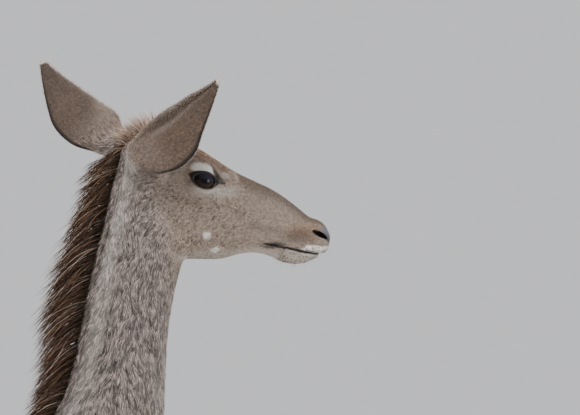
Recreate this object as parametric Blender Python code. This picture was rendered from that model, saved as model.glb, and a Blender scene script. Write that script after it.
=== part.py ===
"""A greater kudu cow, life size, standing alert with her head turned a little to her left.

Metres. +X is the way the trunk faces, +Y is her left and +Z is up. She is drawn straight in
tables of cross-sections, fused into one body, turned at the neck, and then parted with thin
cuts into head, neck, torso and legs. Ears, eyes, hooves, dewclaws and tail are made apart and
fitted to that body face to face.
"""

import math
import random

import bmesh
import bpy
import numpy as np
from mathutils import Matrix, Vector

# Driving dimensions
WITHERS_HEIGHT = 1.21
EYE_HEIGHT = 1.76
EYE_X = 0.62  # the eyes, forward of the middle of the trunk, before the head is turned
FRONT_LEG_X = 0.30
HIND_LEG_X = -0.655
EAR_LENGTH = 0.235
EYE_RADIUS = 0.0215
HOOF_LENGTH = 0.078
GAP = 0.0003  # between nodes that touch

# The head is turned about the upright line of the neck
NECK_AXIS_X = 0.49
HEAD_TURN = math.radians(15)
TURN_FROM, TURN_TO = 1.22, 1.58

RING = 24  # points round a cross-section
BODY_VOXEL, HEAD_VOXEL = 0.008, 0.0042

# A section is (top x, top z, bottom x, bottom z, half width, widest, squareness, y).
# Widest is how far down the widest level lies, and squareness is the power of its outline.
# The trunk's sections are upright, and heights are measured from the withers.
TRUNK = (
    (-0.705, -0.17, -0.705, -0.33, 0.040, 0.45, 2.0, 0),
    (-0.680, -0.105, -0.690, -0.42, 0.095, 0.42, 2.0, 0),
    (-0.600, -0.050, -0.610, -0.50, 0.140, 0.42, 2.1, 0),
    (-0.470, -0.018, -0.470, -0.52, 0.165, 0.42, 2.2, 0),
    (-0.300, -0.026, -0.300, -0.500, 0.172, 0.48, 2.2, 0),
    (-0.100, -0.038, -0.100, -0.530, 0.200, 0.55, 2.1, 0),
    (0.080, -0.030, 0.080, -0.545, 0.203, 0.56, 2.1, 0),
    (0.210, 0.000, 0.230, -0.540, 0.175, 0.58, 2.0, 0),
    (0.300, -0.010, 0.350, -0.505, 0.150, 0.58, 2.0, 0),
    (0.400, -0.080, 0.440, -0.440, 0.118, 0.52, 2.0, 0),
    (0.470, -0.180, 0.490, -0.360, 0.070, 0.50, 2.0, 0),
)

# The neck's sections run square to it, and heights are from the floor
NECK = (
    (0.060, 1.150, 0.400, 0.760, 0.120, 0.55, 2.0, 0),
    (0.190, 1.205, 0.480, 0.880, 0.120, 0.58, 2.0, 0),
    (0.283, 1.262, 0.532, 1.030, 0.104, 0.56, 2.0, 0),
    (0.350, 1.335, 0.556, 1.180, 0.086, 0.54, 2.0, 0),
    (0.391, 1.410, 0.566, 1.310, 0.073, 0.52, 2.0, 0),
    (0.410, 1.480, 0.570, 1.420, 0.065, 0.50, 2.0, 0),
    (0.421, 1.550, 0.576, 1.505, 0.060, 0.50, 2.0, 0),
    (0.440, 1.630, 0.588, 1.575, 0.057, 0.48, 2.0, 0),
    (0.461, 1.710, 0.604, 1.628, 0.055, 0.46, 2.0, 0),
    (0.477, 1.775, 0.620, 1.665, 0.050, 0.44, 2.0, 0),
    (0.499, 1.824, 0.640, 1.700, 0.044, 0.44, 2.0, 0),
)

# The head's sections are measured from the point midway between the eyes
HEAD = (
    (-0.134, 0.052, -0.116, -0.060, 0.034, 0.42, 2.1, 0),
    (-0.112, 0.072, -0.100, -0.100, 0.047, 0.42, 2.2, 0),
    (-0.078, 0.078, -0.078, -0.124, 0.053, 0.44, 2.2, 0),
    (-0.038, 0.069, -0.048, -0.134, 0.058, 0.46, 2.2, 0),
    (0.004, 0.053, -0.018, -0.137, 0.059, 0.42, 2.3, 0),
    (0.040, 0.031, 0.012, -0.138, 0.055, 0.42, 2.3, 0),
    (0.074, 0.010, 0.048, -0.139, 0.047, 0.45, 2.3, 0),
    (0.108, -0.006, 0.083, -0.132, 0.039, 0.50, 2.3, 0),
    (0.144, -0.024, 0.116, -0.132, 0.033, 0.52, 2.4, 0),
    (0.178, -0.048, 0.146, -0.141, 0.030, 0.50, 2.4, 0),
    (0.204, -0.069, 0.171, -0.149, 0.029, 0.48, 2.4, 0),
    (0.225, -0.081, 0.195, -0.150, 0.027, 0.44, 2.4, 0),
    (0.239, -0.092, 0.218, -0.141, 0.022, 0.46, 2.2, 0),
    (0.246, -0.103, 0.239, -0.129, 0.012, 0.50, 2.0, 0),
)

# A leg's sections lie level: (front x, height, back x, height, half width, ..., y), with x
# measured from the leg's own upright line
FRONT_LEG = (
    (0.120, 0.93, -0.100, 0.95, 0.040, 0.5, 2.0, 0.120),
    (0.118, 0.83, -0.105, 0.83, 0.055, 0.5, 2.0, 0.122),
    (0.078, 0.74, -0.098, 0.74, 0.051, 0.5, 2.0, 0.119),
    (0.055, 0.66, -0.070, 0.66, 0.043, 0.5, 2.0, 0.115),
    (0.040, 0.56, -0.046, 0.56, 0.034, 0.5, 2.0, 0.111),
    (0.032, 0.47, -0.033, 0.47, 0.028, 0.5, 2.1, 0.108),
    (0.036, 0.415, -0.034, 0.415, 0.030, 0.5, 2.3, 0.106),
    (0.031, 0.375, -0.030, 0.375, 0.026, 0.5, 2.3, 0.105),
    (0.020, 0.33, -0.026, 0.33, 0.019, 0.5, 2.1, 0.104),
    (0.017, 0.24, -0.025, 0.24, 0.018, 0.5, 2.0, 0.103),
    (0.020, 0.175, -0.030, 0.175, 0.021, 0.5, 2.0, 0.102),
    (0.026, 0.145, -0.036, 0.145, 0.026, 0.5, 2.0, 0.102),
    (0.034, 0.110, -0.024, 0.107, 0.024, 0.5, 2.0, 0.102),
    (0.047, 0.078, -0.010, 0.070, 0.0235, 0.5, 2.0, 0.102),
    (0.064, 0.045, 0.002, 0.036, 0.027, 0.5, 2.2, 0.102),
    (0.070, 0.020, 0.004, 0.010, 0.027, 0.5, 2.2, 0.102),
)
HIND_LEG = (
    (0.275, 0.98, 0.010, 0.98, 0.050, 0.5, 2.0, 0.105),
    (0.315, 0.87, -0.005, 0.87, 0.062, 0.5, 2.0, 0.116),
    (0.312, 0.77, 0.008, 0.77, 0.060, 0.5, 2.0, 0.118),
    (0.272, 0.69, 0.018, 0.69, 0.050, 0.5, 2.0, 0.115),
    (0.192, 0.62, 0.014, 0.62, 0.038, 0.5, 2.0, 0.111),
    (0.118, 0.565, -0.022, 0.57, 0.030, 0.5, 2.0, 0.108),
    (0.068, 0.525, -0.048, 0.535, 0.027, 0.5, 2.2, 0.106),
    (0.042, 0.48, -0.043, 0.49, 0.027, 0.5, 2.3, 0.105),
    (0.025, 0.43, -0.033, 0.43, 0.023, 0.5, 2.2, 0.104),
    (0.018, 0.36, -0.027, 0.36, 0.019, 0.5, 2.0, 0.103),
    (0.020, 0.26, -0.022, 0.26, 0.018, 0.5, 2.0, 0.102),
    (0.026, 0.18, -0.024, 0.18, 0.021, 0.5, 2.0, 0.102),
    (0.034, 0.15, -0.028, 0.15, 0.026, 0.5, 2.0, 0.102),
    (0.044, 0.113, -0.014, 0.109, 0.024, 0.5, 2.0, 0.102),
    (0.058, 0.078, 0.001, 0.070, 0.0235, 0.5, 2.0, 0.102),
    (0.076, 0.045, 0.014, 0.036, 0.027, 0.5, 2.2, 0.102),
    (0.082, 0.020, 0.016, 0.010, 0.027, 0.5, 2.2, 0.102),
)

# The tail's sections run square to it: (outer x, z, inner x, z, half width, ...)
TAIL = (
    (-0.660, 1.105, -0.680, 1.045, 0.020, 0.5, 2.0, 0),
    (-0.705, 1.088, -0.706, 1.040, 0.024, 0.5, 2.0, 0),
    (-0.742, 1.055, -0.720, 1.020, 0.023, 0.5, 2.0, 0),
    (-0.760, 1.000, -0.730, 0.985, 0.022, 0.5, 2.0, 0),
    (-0.768, 0.920, -0.741, 0.920, 0.020, 0.5, 2.0, 0),
    (-0.768, 0.840, -0.745, 0.840, 0.018, 0.5, 2.0, 0),
    (-0.764, 0.780, -0.745, 0.780, 0.015, 0.5, 2.0, 0),
    (-0.760, 0.745, -0.748, 0.745, 0.008, 0.5, 2.0, 0),
)

# Each leg: (name, sections, upright line, side, how far its foot is set forward)
LEGS = (
    ("front_right", FRONT_LEG, FRONT_LEG_X, -1, 0.015),
    ("front_left", FRONT_LEG, FRONT_LEG_X, 1, -0.045),
    ("hind_right", HIND_LEG, HIND_LEG_X, -1, -0.040),
    ("hind_left", HIND_LEG, HIND_LEG_X, 1, 0.035),
)
STRIDE_FROM = 0.95  # the height where a leg starts to lean towards its foot

# Muscles and bone under the skin: (x, y, z, radii, pitch in degrees). Those with a y are paired.
BODY_MASSES = (
    (0.275, 0.098, 0.985, (0.120, 0.058, 0.215), 24),  # shoulder blade
    (0.362, 0.094, 0.885, (0.080, 0.052, 0.100), 20),  # point of the shoulder
    (0.290, 0.112, 0.790, (0.085, 0.050, 0.120), 6),  # upper arm
    (-0.500, 0.098, 0.930, (0.175, 0.070, 0.210), -12),  # haunch
    (-0.610, 0.078, 0.890, (0.085, 0.064, 0.150), 8),  # buttock
    (-0.400, 0.102, 0.810, (0.095, 0.052, 0.140), 24),  # thigh above the stifle
)
# Measured from the point midway between the eyes
HEAD_MASSES = (
    (-0.001, 0.045, 0.001, (0.036, 0.019, 0.029), 20),  # rim of the eye socket
    (-0.008, 0.042, 0.029, (0.036, 0.020, 0.013), 24),  # brow
    (-0.030, 0.034, -0.068, (0.060, 0.025, 0.062), 25),  # cheek
    (0.020, 0.040, -0.030, (0.072, 0.014, 0.022), 26),  # ridge under the eye
    (0.208, 0.0155, -0.111, (0.032, 0.0175, 0.020), 18),  # upper lip
    (0.181, 0.000, -0.137, (0.036, 0.022, 0.014), 2),  # chin
    (0.216, 0.017, -0.088, (0.023, 0.013, 0.012), 34),  # wing of the nostril
    (-0.097, 0.040, 0.027, (0.032, 0.022, 0.036), 0),  # root of the ear
)

# Cuts, each (x, z, and the cut's lean from upright in degrees)
HEAD_CUT = (0.538, 1.720, 16)
SHOULDER_CUT = (0.335, 1.065, 51)
FRONT_LEG_TOP, HIND_LEG_TOP = 0.648, 0.672
CORONET_CUT_LEAN = 14  # the hoof's upper edge rises towards the toe
CORONET_HEIGHT = 0.050

# Each ear, before the head is turned: the ways its tip points and its cup opens, and its sway
EAR_ROOT = (-0.099, 0.060, 0.029)
EARS = (
    ("ear_right", -1, (0.054, -0.178, 0.154), (0.978, 0.083, -0.192), -0.0067),
    ("ear_left", 1, (-0.082, 0.152, 0.154), (-0.083, 0.718, -0.691), 0.019),
)
# Along the ear: (share of its length, half its width if laid flat, its wrap, share of its sway,
# how far its back bows out)
EAR_SHAPE = (
    (-0.09, 0.042, 2.57, 0.00, 1.07),
    (0.00, 0.052, 2.38, 0.55, 1.20),
    (0.08, 0.061, 2.07, 1.10, 1.26),
    (0.20, 0.074, 1.62, 1.25, 1.13),
    (0.34, 0.079, 1.29, 0.62, 0.88),
    (0.50, 0.070, 1.19, 0.50, 0.66),
    (0.64, 0.053, 1.17, 0.60, 0.69),
    (0.78, 0.0345, 1.15, 0.55, 0.66),
    (0.90, 0.0178, 1.05, 0.45, 0.59),
    (1.00, 0.0050, 0.87, 0.28, 0.56),
)
EAR_THICKNESS = 0.0036

# Colours, as linear red, green and blue
COAT = (0.262, 0.205, 0.160, 1)
NECK_COAT = (0.245, 0.200, 0.165, 1)
LEG_COAT = (0.330, 0.240, 0.165, 1)
EAR_COAT = (0.225, 0.160, 0.120, 1)
TAIL_COAT = (0.200, 0.140, 0.100, 1)
HORN_BLACK = (0.020, 0.017, 0.015, 1)
EYE_BLACK = (0.012, 0.008, 0.006, 1)


def between(rows, steps):
    """The rows of a table with smooth ones between them, on a curve through them all."""
    table = np.array(rows, float)
    ends = np.vstack([2 * table[0] - table[1], table, 2 * table[-1] - table[-2]])
    found = []
    for i in range(len(table) - 1):
        a, b, c, d = ends[i : i + 4]
        for t in np.arange(steps) / steps:
            bend = (2 * a - 5 * b + 4 * c - d) * t * t + (3 * b - a - 3 * c + d) * t**3
            found.append(b + 0.5 * ((c - a) * t + bend))
    found.append(table[-1])
    return np.array(found)


def new_object(name, bm):
    bmesh.ops.recalc_face_normals(bm, faces=bm.faces)
    mesh = bpy.data.meshes.new(name)
    bm.to_mesh(mesh)
    bm.free()
    obj = bpy.data.objects.new(name, mesh)
    bpy.context.scene.collection.objects.link(obj)
    return obj


def skin_over(name, rings, tip=None, folded=False):
    """A closed body over rings of points. Fans close its ends, the last at tip.

    A folded ring is two arcs, there and back, and its ends are closed from arc to arc."""
    bm = bmesh.new()
    loops = [[bm.verts.new(p) for p in ring] for ring in rings]
    count = len(loops[0])
    for near, far in zip(loops, loops[1:]):
        for i in range(count):
            j = (i + 1) % count
            bm.faces.new((near[i], near[j], far[j], far[i]))
    for loop, peak in ((loops[0], None), (loops[-1], tip)):
        if folded:
            for i in range(count // 2 - 1):
                bm.faces.new((loop[i], loop[i + 1], loop[-2 - i], loop[-1 - i]))
            continue
        middle = bm.verts.new(peak or sum((v.co for v in loop), Vector()) / count)
        for i in range(count):
            bm.faces.new((loop[i], loop[(i + 1) % count], middle))
    return new_object(name, bm)


def section_ring(section, side=1):
    """The points round one section: flattened ellipses that meet at its widest level."""
    tx, tz, bx, bz, half_width, widest, square, y = section
    top, bottom = Vector((tx, side * y, tz)), Vector((bx, side * y, bz))
    middle = top.lerp(bottom, widest)
    ring = []
    for i in range(RING):
        turn = math.tau * i / RING
        across = math.copysign(abs(math.cos(turn)) ** (2 / square), math.cos(turn))
        up = abs(math.sin(turn)) ** (2 / square)
        height = (top if math.sin(turn) > 0 else bottom) - middle
        ring.append(middle + height * up + Vector((0, across * half_width, 0)))
    return ring


def loft(name, sections, steps=3, side=1):
    return skin_over(name, [section_ring(s, side) for s in between(sections, steps)])


def moved(sections, x, z):
    """A table's sections, shifted along x and z."""
    return [(s[0] + x, s[1] + z, s[2] + x, s[3] + z, *s[4:]) for s in sections]


def ball(name, centre, radii, pitch=0.0, detail=3, spin=None):
    """An ellipsoid. Pitch tips its front end down, and spin is any further turn."""
    bm = bmesh.new()
    bmesh.ops.create_icosphere(bm, subdivisions=detail, radius=1)
    tilt = Matrix.Rotation(math.radians(pitch), 4, "Y")
    place = Matrix.Translation(centre) @ (spin or Matrix()) @ tilt
    bm.transform(place @ Matrix.Diagonal((*radii, 1)))
    return new_object(name, bm)


def masses(table, origin):
    made = []
    for x, y, z, radii, pitch in table:
        for side in (-1, 1) if y else (1,):
            centre = (origin[0] + x, side * y, origin[1] + z)
            made.append(ball("mass", centre, radii, pitch))
    return made


def evaluated(obj):
    """The object with its modifiers made real."""
    graph = bpy.context.evaluated_depsgraph_get()
    mesh = bpy.data.meshes.new_from_object(obj.evaluated_get(graph))
    obj.modifiers.clear()
    obj.data = mesh
    return obj


def joined(name, pieces):
    bm = bmesh.new()
    for piece in pieces:
        bm.from_mesh(piece.data)
        bpy.data.objects.remove(piece)
    return new_object(name, bm)


def fused(name, pieces, voxel, smoothing, triangles):
    """The pieces as one smooth closed surface of about that many triangles."""
    obj = joined(name, pieces)
    remesh = obj.modifiers.new("one_surface", "REMESH")
    remesh.mode = "VOXEL"
    remesh.voxel_size = voxel
    smooth = obj.modifiers.new("soften", "SMOOTH")
    smooth.iterations = smoothing
    evaluated(obj)
    return thinned(obj, triangles)


def thinned(obj, triangles):
    faces = sum(len(p.vertices) - 2 for p in obj.data.polygons)
    thin = obj.modifiers.new("thin", "DECIMATE")
    thin.ratio = min(1.0, triangles / faces)
    return evaluated(obj)


def share(value, low, high):
    """0 below low, 1 above high, and an even ease between them."""
    t = np.clip((value - low) / (high - low), 0, 1)
    return t * t * (3 - 2 * t)


def turned(point):
    """Where a point of the straight animal goes when the head is turned."""
    x, y, z = point
    angle = HEAD_TURN * float(share(z, TURN_FROM, TURN_TO))
    dx, c, s = x - NECK_AXIS_X, math.cos(angle), math.sin(angle)
    return Vector((NECK_AXIS_X + c * dx - s * y, s * dx + c * y, z))


def turn_head(obj):
    for vertex in obj.data.vertices:
        vertex.co = turned(vertex.co)
    return obj


def copy_of(obj, name):
    made = bpy.data.objects.new(name, obj.data.copy())
    bpy.context.scene.collection.objects.link(made)
    return made


def keep_side(obj, point, normal):
    """Keeps what lies on the normal's side of a plane, half a gap off it, and closes the cut."""
    normal = Vector(normal).normalized()
    bm = bmesh.new()
    bm.from_mesh(obj.data)
    made = bmesh.ops.bisect_plane(
        bm,
        geom=bm.verts[:] + bm.edges[:] + bm.faces[:],
        dist=1e-7,
        plane_co=Vector(point) + normal * GAP / 2,
        plane_no=normal,
        clear_inner=True,
    )
    edges = [e for e in made["geom_cut"] if isinstance(e, bmesh.types.BMEdge)]
    bmesh.ops.triangle_fill(bm, use_beauty=True, edges=edges)
    bmesh.ops.recalc_face_normals(bm, faces=bm.faces)
    bm.to_mesh(obj.data)
    bm.free()
    return obj


def largest(obj):
    """Keeps only the object's largest closed surface."""
    bm = bmesh.new()
    bm.from_mesh(obj.data)
    left, surfaces = set(bm.verts), []
    while left:
        surface, edge = set(), [left.pop()]
        while edge:
            vertex = edge.pop()
            surface.add(vertex)
            near = {e.other_vert(vertex) for e in vertex.link_edges} & left
            left -= near
            edge.extend(near)
        surfaces.append(surface)
    surfaces.sort(key=len)
    for surface in surfaces[:-1]:
        bmesh.ops.delete(bm, geom=list(surface), context="VERTS")
    bm.to_mesh(obj.data)
    bm.free()
    return obj


def combined(obj, others, operation, solver="EXACT"):
    """One Boolean of the object with all the others, which are then removed."""
    group = bpy.data.collections.new("operands")
    bpy.context.scene.collection.children.link(group)
    for other in others:
        bpy.context.scene.collection.objects.unlink(other)
        group.objects.link(other)
    boolean = obj.modifiers.new("combine", "BOOLEAN")
    boolean.operation = operation
    boolean.solver = solver
    boolean.operand_type = "COLLECTION"
    boolean.collection = group
    evaluated(obj)
    for other in others:
        bpy.data.objects.remove(other)
    bpy.data.collections.remove(group)
    return obj


def grown(obj, name, by):
    """A copy whose surface stands out by that much, to cut a neighbour clear."""
    made = copy_of(obj, name)
    normals = [v.normal.copy() for v in made.data.vertices]
    for vertex, normal in zip(made.data.vertices, normals):
        vertex.co += normal * by
    return made


def lock(root, out, lie, broad, length, width, sink=0.008, segments=3, thickness=0.003):
    """A flat tapered lock, broad along one way, that leaves along out and bends over to lie."""
    out, lie, broad = (Vector(v).normalized() for v in (out, lie, broad))
    place = Vector(root) - out * sink
    rings, step = [], (length + sink) / segments
    for i in range(segments):
        t = i / segments
        way = out.lerp(lie, min(1.0, 1.35 * t)).normalized()
        wide = 0.5 * width * (0.8 + 1.1 * t) * (1 - t) ** 0.85
        thick = 0.5 * thickness * (1 - 0.75 * t)
        flat = (broad - way * broad.dot(way)).normalized()
        over = way.cross(flat).normalized()
        rings.append([
            place + flat * wide,
            place + over * thick,
            place - flat * wide,
            place - over * thick,
        ])
        place = place + way * step
    return skin_over("lock", rings, place)


def crest_points(sections, column, spacing):
    """Points along a table's upper line, each with the line's direction there."""
    line = between(sections, 12)[:, [column, column + 1]]
    ends = np.hypot(*np.diff(line, axis=0).T)
    run = np.concatenate([[0], np.cumsum(ends)])
    for at in np.arange(0, run[-1], spacing):
        x, z = (np.interp(at, run, line[:, k]) for k in (0, 1))
        ahead = [np.interp(at + 0.01, run, line[:, k]) for k in (0, 1)]
        yield at / run[-1], x, z, Vector((ahead[0] - x, 0, ahead[1] - z)).normalized()


def mane_lock(x, z, along, side, lift, length, width):
    """A lock of the crest. Along runs down the hair's lie, and lift is its angle off the skin."""
    up = Vector((-along.z, 0, along.x))
    if up.z < 0 and abs(up.x) < abs(up.z):
        up = -up
    if up.x > 0:
        up = -up
    aside = Vector((0, side, 0))
    out = along * math.cos(lift + 0.35) + up * math.sin(lift + 0.35) + aside * 0.22
    lie = along * math.cos(lift - 0.25) + up * math.sin(lift - 0.25) + aside * 0.10
    root = Vector((x, 0.009 * side, z)) - up * 0.003 * abs(side)
    return lock(root, out, lie, along, length, width)


def neck_mane(rng):
    """Locks down the nape, longest half way, thinning out where the neck meets the trunk."""
    made = []
    line = [s for s in reversed(NECK[2:])]
    for where, x, z, along in crest_points(line, 0, 0.028):
        if not 0.01 < where < 0.93:
            continue
        length = 0.038 + 0.042 * math.sin(math.pi * min(1.0, 0.20 + 0.8 * where)) ** 2
        for side in (-1, 0, 1):
            jog = 0.014 * abs(side) + rng.uniform(-0.004, 0.004)
            grown_to = length * rng.uniform(0.85, 1.1)
            lift = 0.62 + rng.uniform(-0.08, 0.08)
            root = x + along.x * jog, z + along.z * jog
            made.append(mane_lock(*root, along, side, lift, grown_to, 0.024))
    return made


def spine_crest(rng):
    """Short locks that lie back along the spine from the withers."""
    made = []
    line = [s for s in reversed(TRUNK[3:9])]
    for where, x, z, along in crest_points(moved(line, 0, WITHERS_HEIGHT), 0, 0.030):
        length = 0.040 - 0.014 * where
        side = rng.uniform(-0.6, 0.6)
        lift = 0.34 + rng.uniform(-0.06, 0.06)
        back = Vector((along.x, 0, along.z))
        up = Vector((0, 0, 1))
        out = back * math.cos(lift + 0.3) + up * math.sin(lift + 0.3)
        lie = back * math.cos(lift - 0.2) + up * math.sin(lift - 0.2)
        made.append(lock((x, 0.010 * side, z - 0.002), out, lie, back, length, 0.022))
    return made


def poll_tuft(rng, origin):
    """The upright tuft between the ears."""
    made = []
    for i in range(15):
        back = i / 14
        x = origin[0] - 0.044 - 0.078 * back
        z = origin[1] + 0.071 + 0.006 * math.sin(math.pi * back) - 0.012 * back**4
        side = (i % 3 - 1) * rng.uniform(0.7, 1)
        out = Vector((0.15 - 0.7 * back, 0.10 * side, 1 - 0.2 * back))
        lie = Vector((-0.15 - 1.0 * back, 0.15 * side, 0.9 - 0.7 * back))
        root = (x, 0.011 * side, z)
        broad = (1, rng.uniform(-0.4, 0.4), 0)
        made.append(lock(root, out, lie, broad, rng.uniform(0.030, 0.042), 0.016))
    return made


def tail_locks(rng):
    """Hair round the tail, longer towards its tuft."""
    made = []
    rows = between(TAIL, 6)
    for i in range(18):
        row = rows[int(12 + 30 * i / 17)]
        middle_x, z = 0.5 * (row[0] + row[2]), 0.5 * (row[1] + row[3])
        turn = math.tau * (0.37 * i + rng.uniform(-0.05, 0.05))
        round_x, round_y = math.cos(turn), math.sin(turn)
        root = (middle_x + 0.5 * row[4] * round_x, 0.6 * row[4] * round_y, z)
        out, lie = (0.5 * round_x, 0.5 * round_y, -1), (0.10 * round_x, 0.14 * round_y, -1)
        broad = (-round_y, round_x, 0)
        length = 0.062 + 0.040 * i / 17
        made.append(lock(root, out, lie, broad, length, 0.030, sink=0.003))
    return made


def leg_sections(sections, line, stride):
    """A leg's sections in place, leaning towards its foot."""
    made = []
    for tx, tz, bx, bz, *rest in sections:
        lean = stride * max(0.0, 1 - (tz + bz) / 2 / STRIDE_FROM)
        made.append((tx + line + lean, tz, bx + line + lean, bz, *rest))
    return made


def foot_centre(sections, line, stride):
    """The middle of a leg where its hooves begin."""
    low = leg_sections(sections, line, stride)[-2]
    return 0.5 * (low[0] + low[2]), low[7]


def claw(name, centre_x, y, outward, upper_cut):
    """One half of a hoof: flat on the cleft side, round outside, pointed at the toe."""
    half = 0.0255
    rings = []
    for height, grow in ((0.0, 1.0), (0.006, 1.015), (0.030, 0.90), (0.075, 0.70)):
        ring = []
        slope = 0.62 * (0.075 - height)
        front, back = centre_x + 0.012 + slope, centre_x - 0.034 * (0.8 + 0.2 * grow)
        length = front - back
        for i in range(12):
            turn = math.tau * i / 12
            along = 0.5 + 0.5 * math.cos(turn)
            across = math.sin(turn)
            point = 1 - 0.45 * along**3
            if across >= 0:
                offset = half * grow * point * across**0.8
            else:
                offset = 0.0008 * across
            x = back + length * along
            ring.append(Vector((x, y + outward * (0.0018 + offset), height)))
        rings.append(ring)
    obj = skin_over(name, rings)
    return keep_side(obj, *upper_cut)


def coronet_cut(centre_x):
    """The slanting plane between pastern and hoof. Its normal points down to the hoof."""
    lean = math.radians(CORONET_CUT_LEAN)
    return (centre_x, 0, CORONET_HEIGHT), Vector((math.sin(lean), 0, -math.cos(lean)))


def make_body():
    """Trunk, neck and legs as one surface, with the head's back for the neck to run into."""
    pieces = [
        loft("trunk", moved(TRUNK, 0, WITHERS_HEIGHT)),
        loft("neck", NECK),
        loft("head", moved(HEAD, EYE_X, EYE_HEIGHT)),
    ]
    for _, sections, line, side, stride in LEGS:
        pieces.append(loft("leg", leg_sections(sections, line, stride), 3, side))
    pieces += masses(BODY_MASSES, (0, 0))
    return fused("body", pieces, BODY_VOXEL, 14, 3800)


def make_head():
    """The head in finer detail, with enough neck to be cut from."""
    pieces = [
        loft("neck", NECK[5:]),
        loft("head", moved(HEAD, EYE_X, EYE_HEIGHT)),
        *masses(HEAD_MASSES, (EYE_X, EYE_HEIGHT)),
    ]
    return fused("head", pieces, HEAD_VOXEL, 5, 2100)


def eye_centre(side):
    return Vector((EYE_X - 0.006, side * 0.0540, EYE_HEIGHT))


def eye_spin(side):
    """The eye looks outwards, a little forward."""
    return Matrix.Rotation(math.radians(side * 82), 4, "Z")


def eyelids(side):
    """A dome over the eyeball, which the opening between the lids is then cut from."""
    return ball("lids", eye_centre(side), [EYE_RADIUS + 0.0038] * 3)


def eye_opening(side):
    """The almond between the lids, drawn out towards its front corner."""
    rings = []
    look = eye_spin(side) @ Vector((1, 0, 0))
    forward = Vector((1, 0, -0.30)).normalized()
    up = Vector((0.30, 0, 1)).normalized()
    for depth, grow in ((0.002, 0.75), (0.014, 0.95), (0.040, 1.35)):
        ring = []
        for i in range(16):
            turn = math.tau * i / 16
            along, high = math.cos(turn), math.sin(turn)
            reach = 0.0200 if along < 0 else 0.0235
            pinch = 1 - 0.35 * max(0.0, along) ** 2
            edge = forward * along * reach + up * high * 0.0142 * pinch
            ring.append(eye_centre(side) + look * depth + edge * grow)
        rings.append(ring)
    return skin_over("opening", rings)


def mouth_groove(origin):
    """A wedge that runs from one corner of the mouth round the front to the other."""
    rings = []
    steps = 26
    for i in range(steps + 1):
        turn = math.pi * (i / steps - 0.5)
        ahead = max(0.0, math.cos(turn)) ** 0.55
        x = origin[0] + 0.116 + 0.118 * ahead
        side = math.sin(turn)
        y = (0.031 - 0.010 * ahead**4) * math.copysign(abs(side) ** 0.5, side)
        droop = -0.112 - 0.0265 * ahead + 0.004 * ahead**8
        z = origin[1] + droop
        outward = Vector((max(0.05, math.cos(turn)) ** 2, 1.2 * side, 0)).normalized()
        place = Vector((x, y, z))
        rings.append([
            place + outward * 0.016 + Vector((0, 0, 0.0030)),
            place - outward * 0.009 + Vector((0, 0, 0.0004)),
            place - outward * 0.009 - Vector((0, 0, 0.0004)),
            place + outward * 0.016 - Vector((0, 0, 0.0030)),
        ])
    return skin_over("mouth", rings)


def nostril(origin, side):
    """A comma-shaped opening that enters backwards and inwards."""
    centre = (origin[0] + 0.218, side * 0.0225, origin[1] - 0.102)
    spin = Matrix.Rotation(math.radians(-24 * side), 4, "Z")
    return ball("nostril", centre, (0.0185, 0.0090, 0.0056), 30, 2, spin)


def make_eye(side):
    name = "eye_left" if side > 0 else "eye_right"
    return ball(name, eye_centre(side), [EYE_RADIUS] * 3, detail=2)


def cut_plane(cut, turn=0.0):
    """A cut's point and its normal, which leans back from straight ahead and up."""
    x, z, lean = cut
    lean = math.radians(lean)
    normal = Vector((math.cos(lean), 0, math.sin(lean)))
    normal = Matrix.Rotation(turn, 3, "Z") @ normal
    point = turned((x, 0, z)) if turn else Vector((x, 0, z))
    return point, normal


def ear_shell(name, side, tip, opening, sway):
    """A cupped leaf: rings of an outer and an inner arc round the line from root to tip."""
    root = Vector((EYE_X + EAR_ROOT[0], side * EAR_ROOT[1], EYE_HEIGHT + EAR_ROOT[2]))
    axis = Vector(tip).normalized()
    mouth = Vector(opening)
    mouth = (mouth - axis * mouth.dot(axis)).normalized()
    across = axis.cross(mouth)
    rings = []
    for reach, half_width, wrap, aside, bowed in between(EAR_SHAPE, 2):
        radius = half_width / wrap
        bow = bowed * radius * (1 - math.cos(wrap))
        spine = root + axis * reach * EAR_LENGTH + across * sway * aside - mouth * bow
        centre = spine + mouth * radius
        thick = min(EAR_THICKNESS * (1.3 - 0.6 * reach), 0.6 * radius)
        outer, inner = [], []
        for i in range(9):
            turn = wrap * (i / 4 - 1)
            ray = across * math.sin(turn) - mouth * math.cos(turn)
            rim = 1 - 0.55 * abs(i / 4 - 1) ** 3
            outer.append(centre + ray * radius)
            inner.append(centre + ray * (radius - thick * rim))
        rings.append(outer + inner[::-1])
    shell = skin_over(name, rings, folded=True)
    return shell, root, axis, mouth


def make_ear(name, side, tip, opening, sway, bodies):
    """The shell on its solid root, cut to the surfaces of head and neck."""
    shell, root, axis, mouth = ear_shell(name, side, tip, opening, sway)
    stem_turn = axis.to_track_quat("Z", "Y").to_matrix().to_4x4()
    stem = ball("stem", root, (0.019, 0.019, 0.040), detail=2, spin=stem_turn)
    combined(shell, [stem], "UNION")
    turn_head(shell)
    combined(shell, [grown(body, "clear", 0.0005) for body in bodies], "DIFFERENCE")
    return largest(shell)


def finish(obj, name, material):
    obj.name = obj.data.name = name
    obj.data.materials.clear()
    obj.data.materials.append(material)
    obj.data.shade_smooth()
    obj.data.set_sharp_from_angle(angle=math.radians(50))
    return obj


def material(name, colour, roughness):
    made = bpy.data.materials.new(name)
    made.use_nodes = True
    shader = made.node_tree.nodes["Principled BSDF"]
    shader.inputs["Base Color"].default_value = colour
    shader.inputs["Roughness"].default_value = roughness
    shader.inputs["Metallic"].default_value = 0.0
    return made


def dewclaw(name, centre_x, y, side, leg):
    """A small claw behind the fetlock, cut to the skin that it grows from."""
    spin = Matrix.Rotation(math.radians(18 * side), 4, "X")
    obj = ball(name, (centre_x, y, 0.118), (0.011, 0.0075, 0.017), -25, 2, spin)
    combined(obj, [grown(leg, "clear", 0.0005)], "DIFFERENCE")
    return largest(obj)


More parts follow.
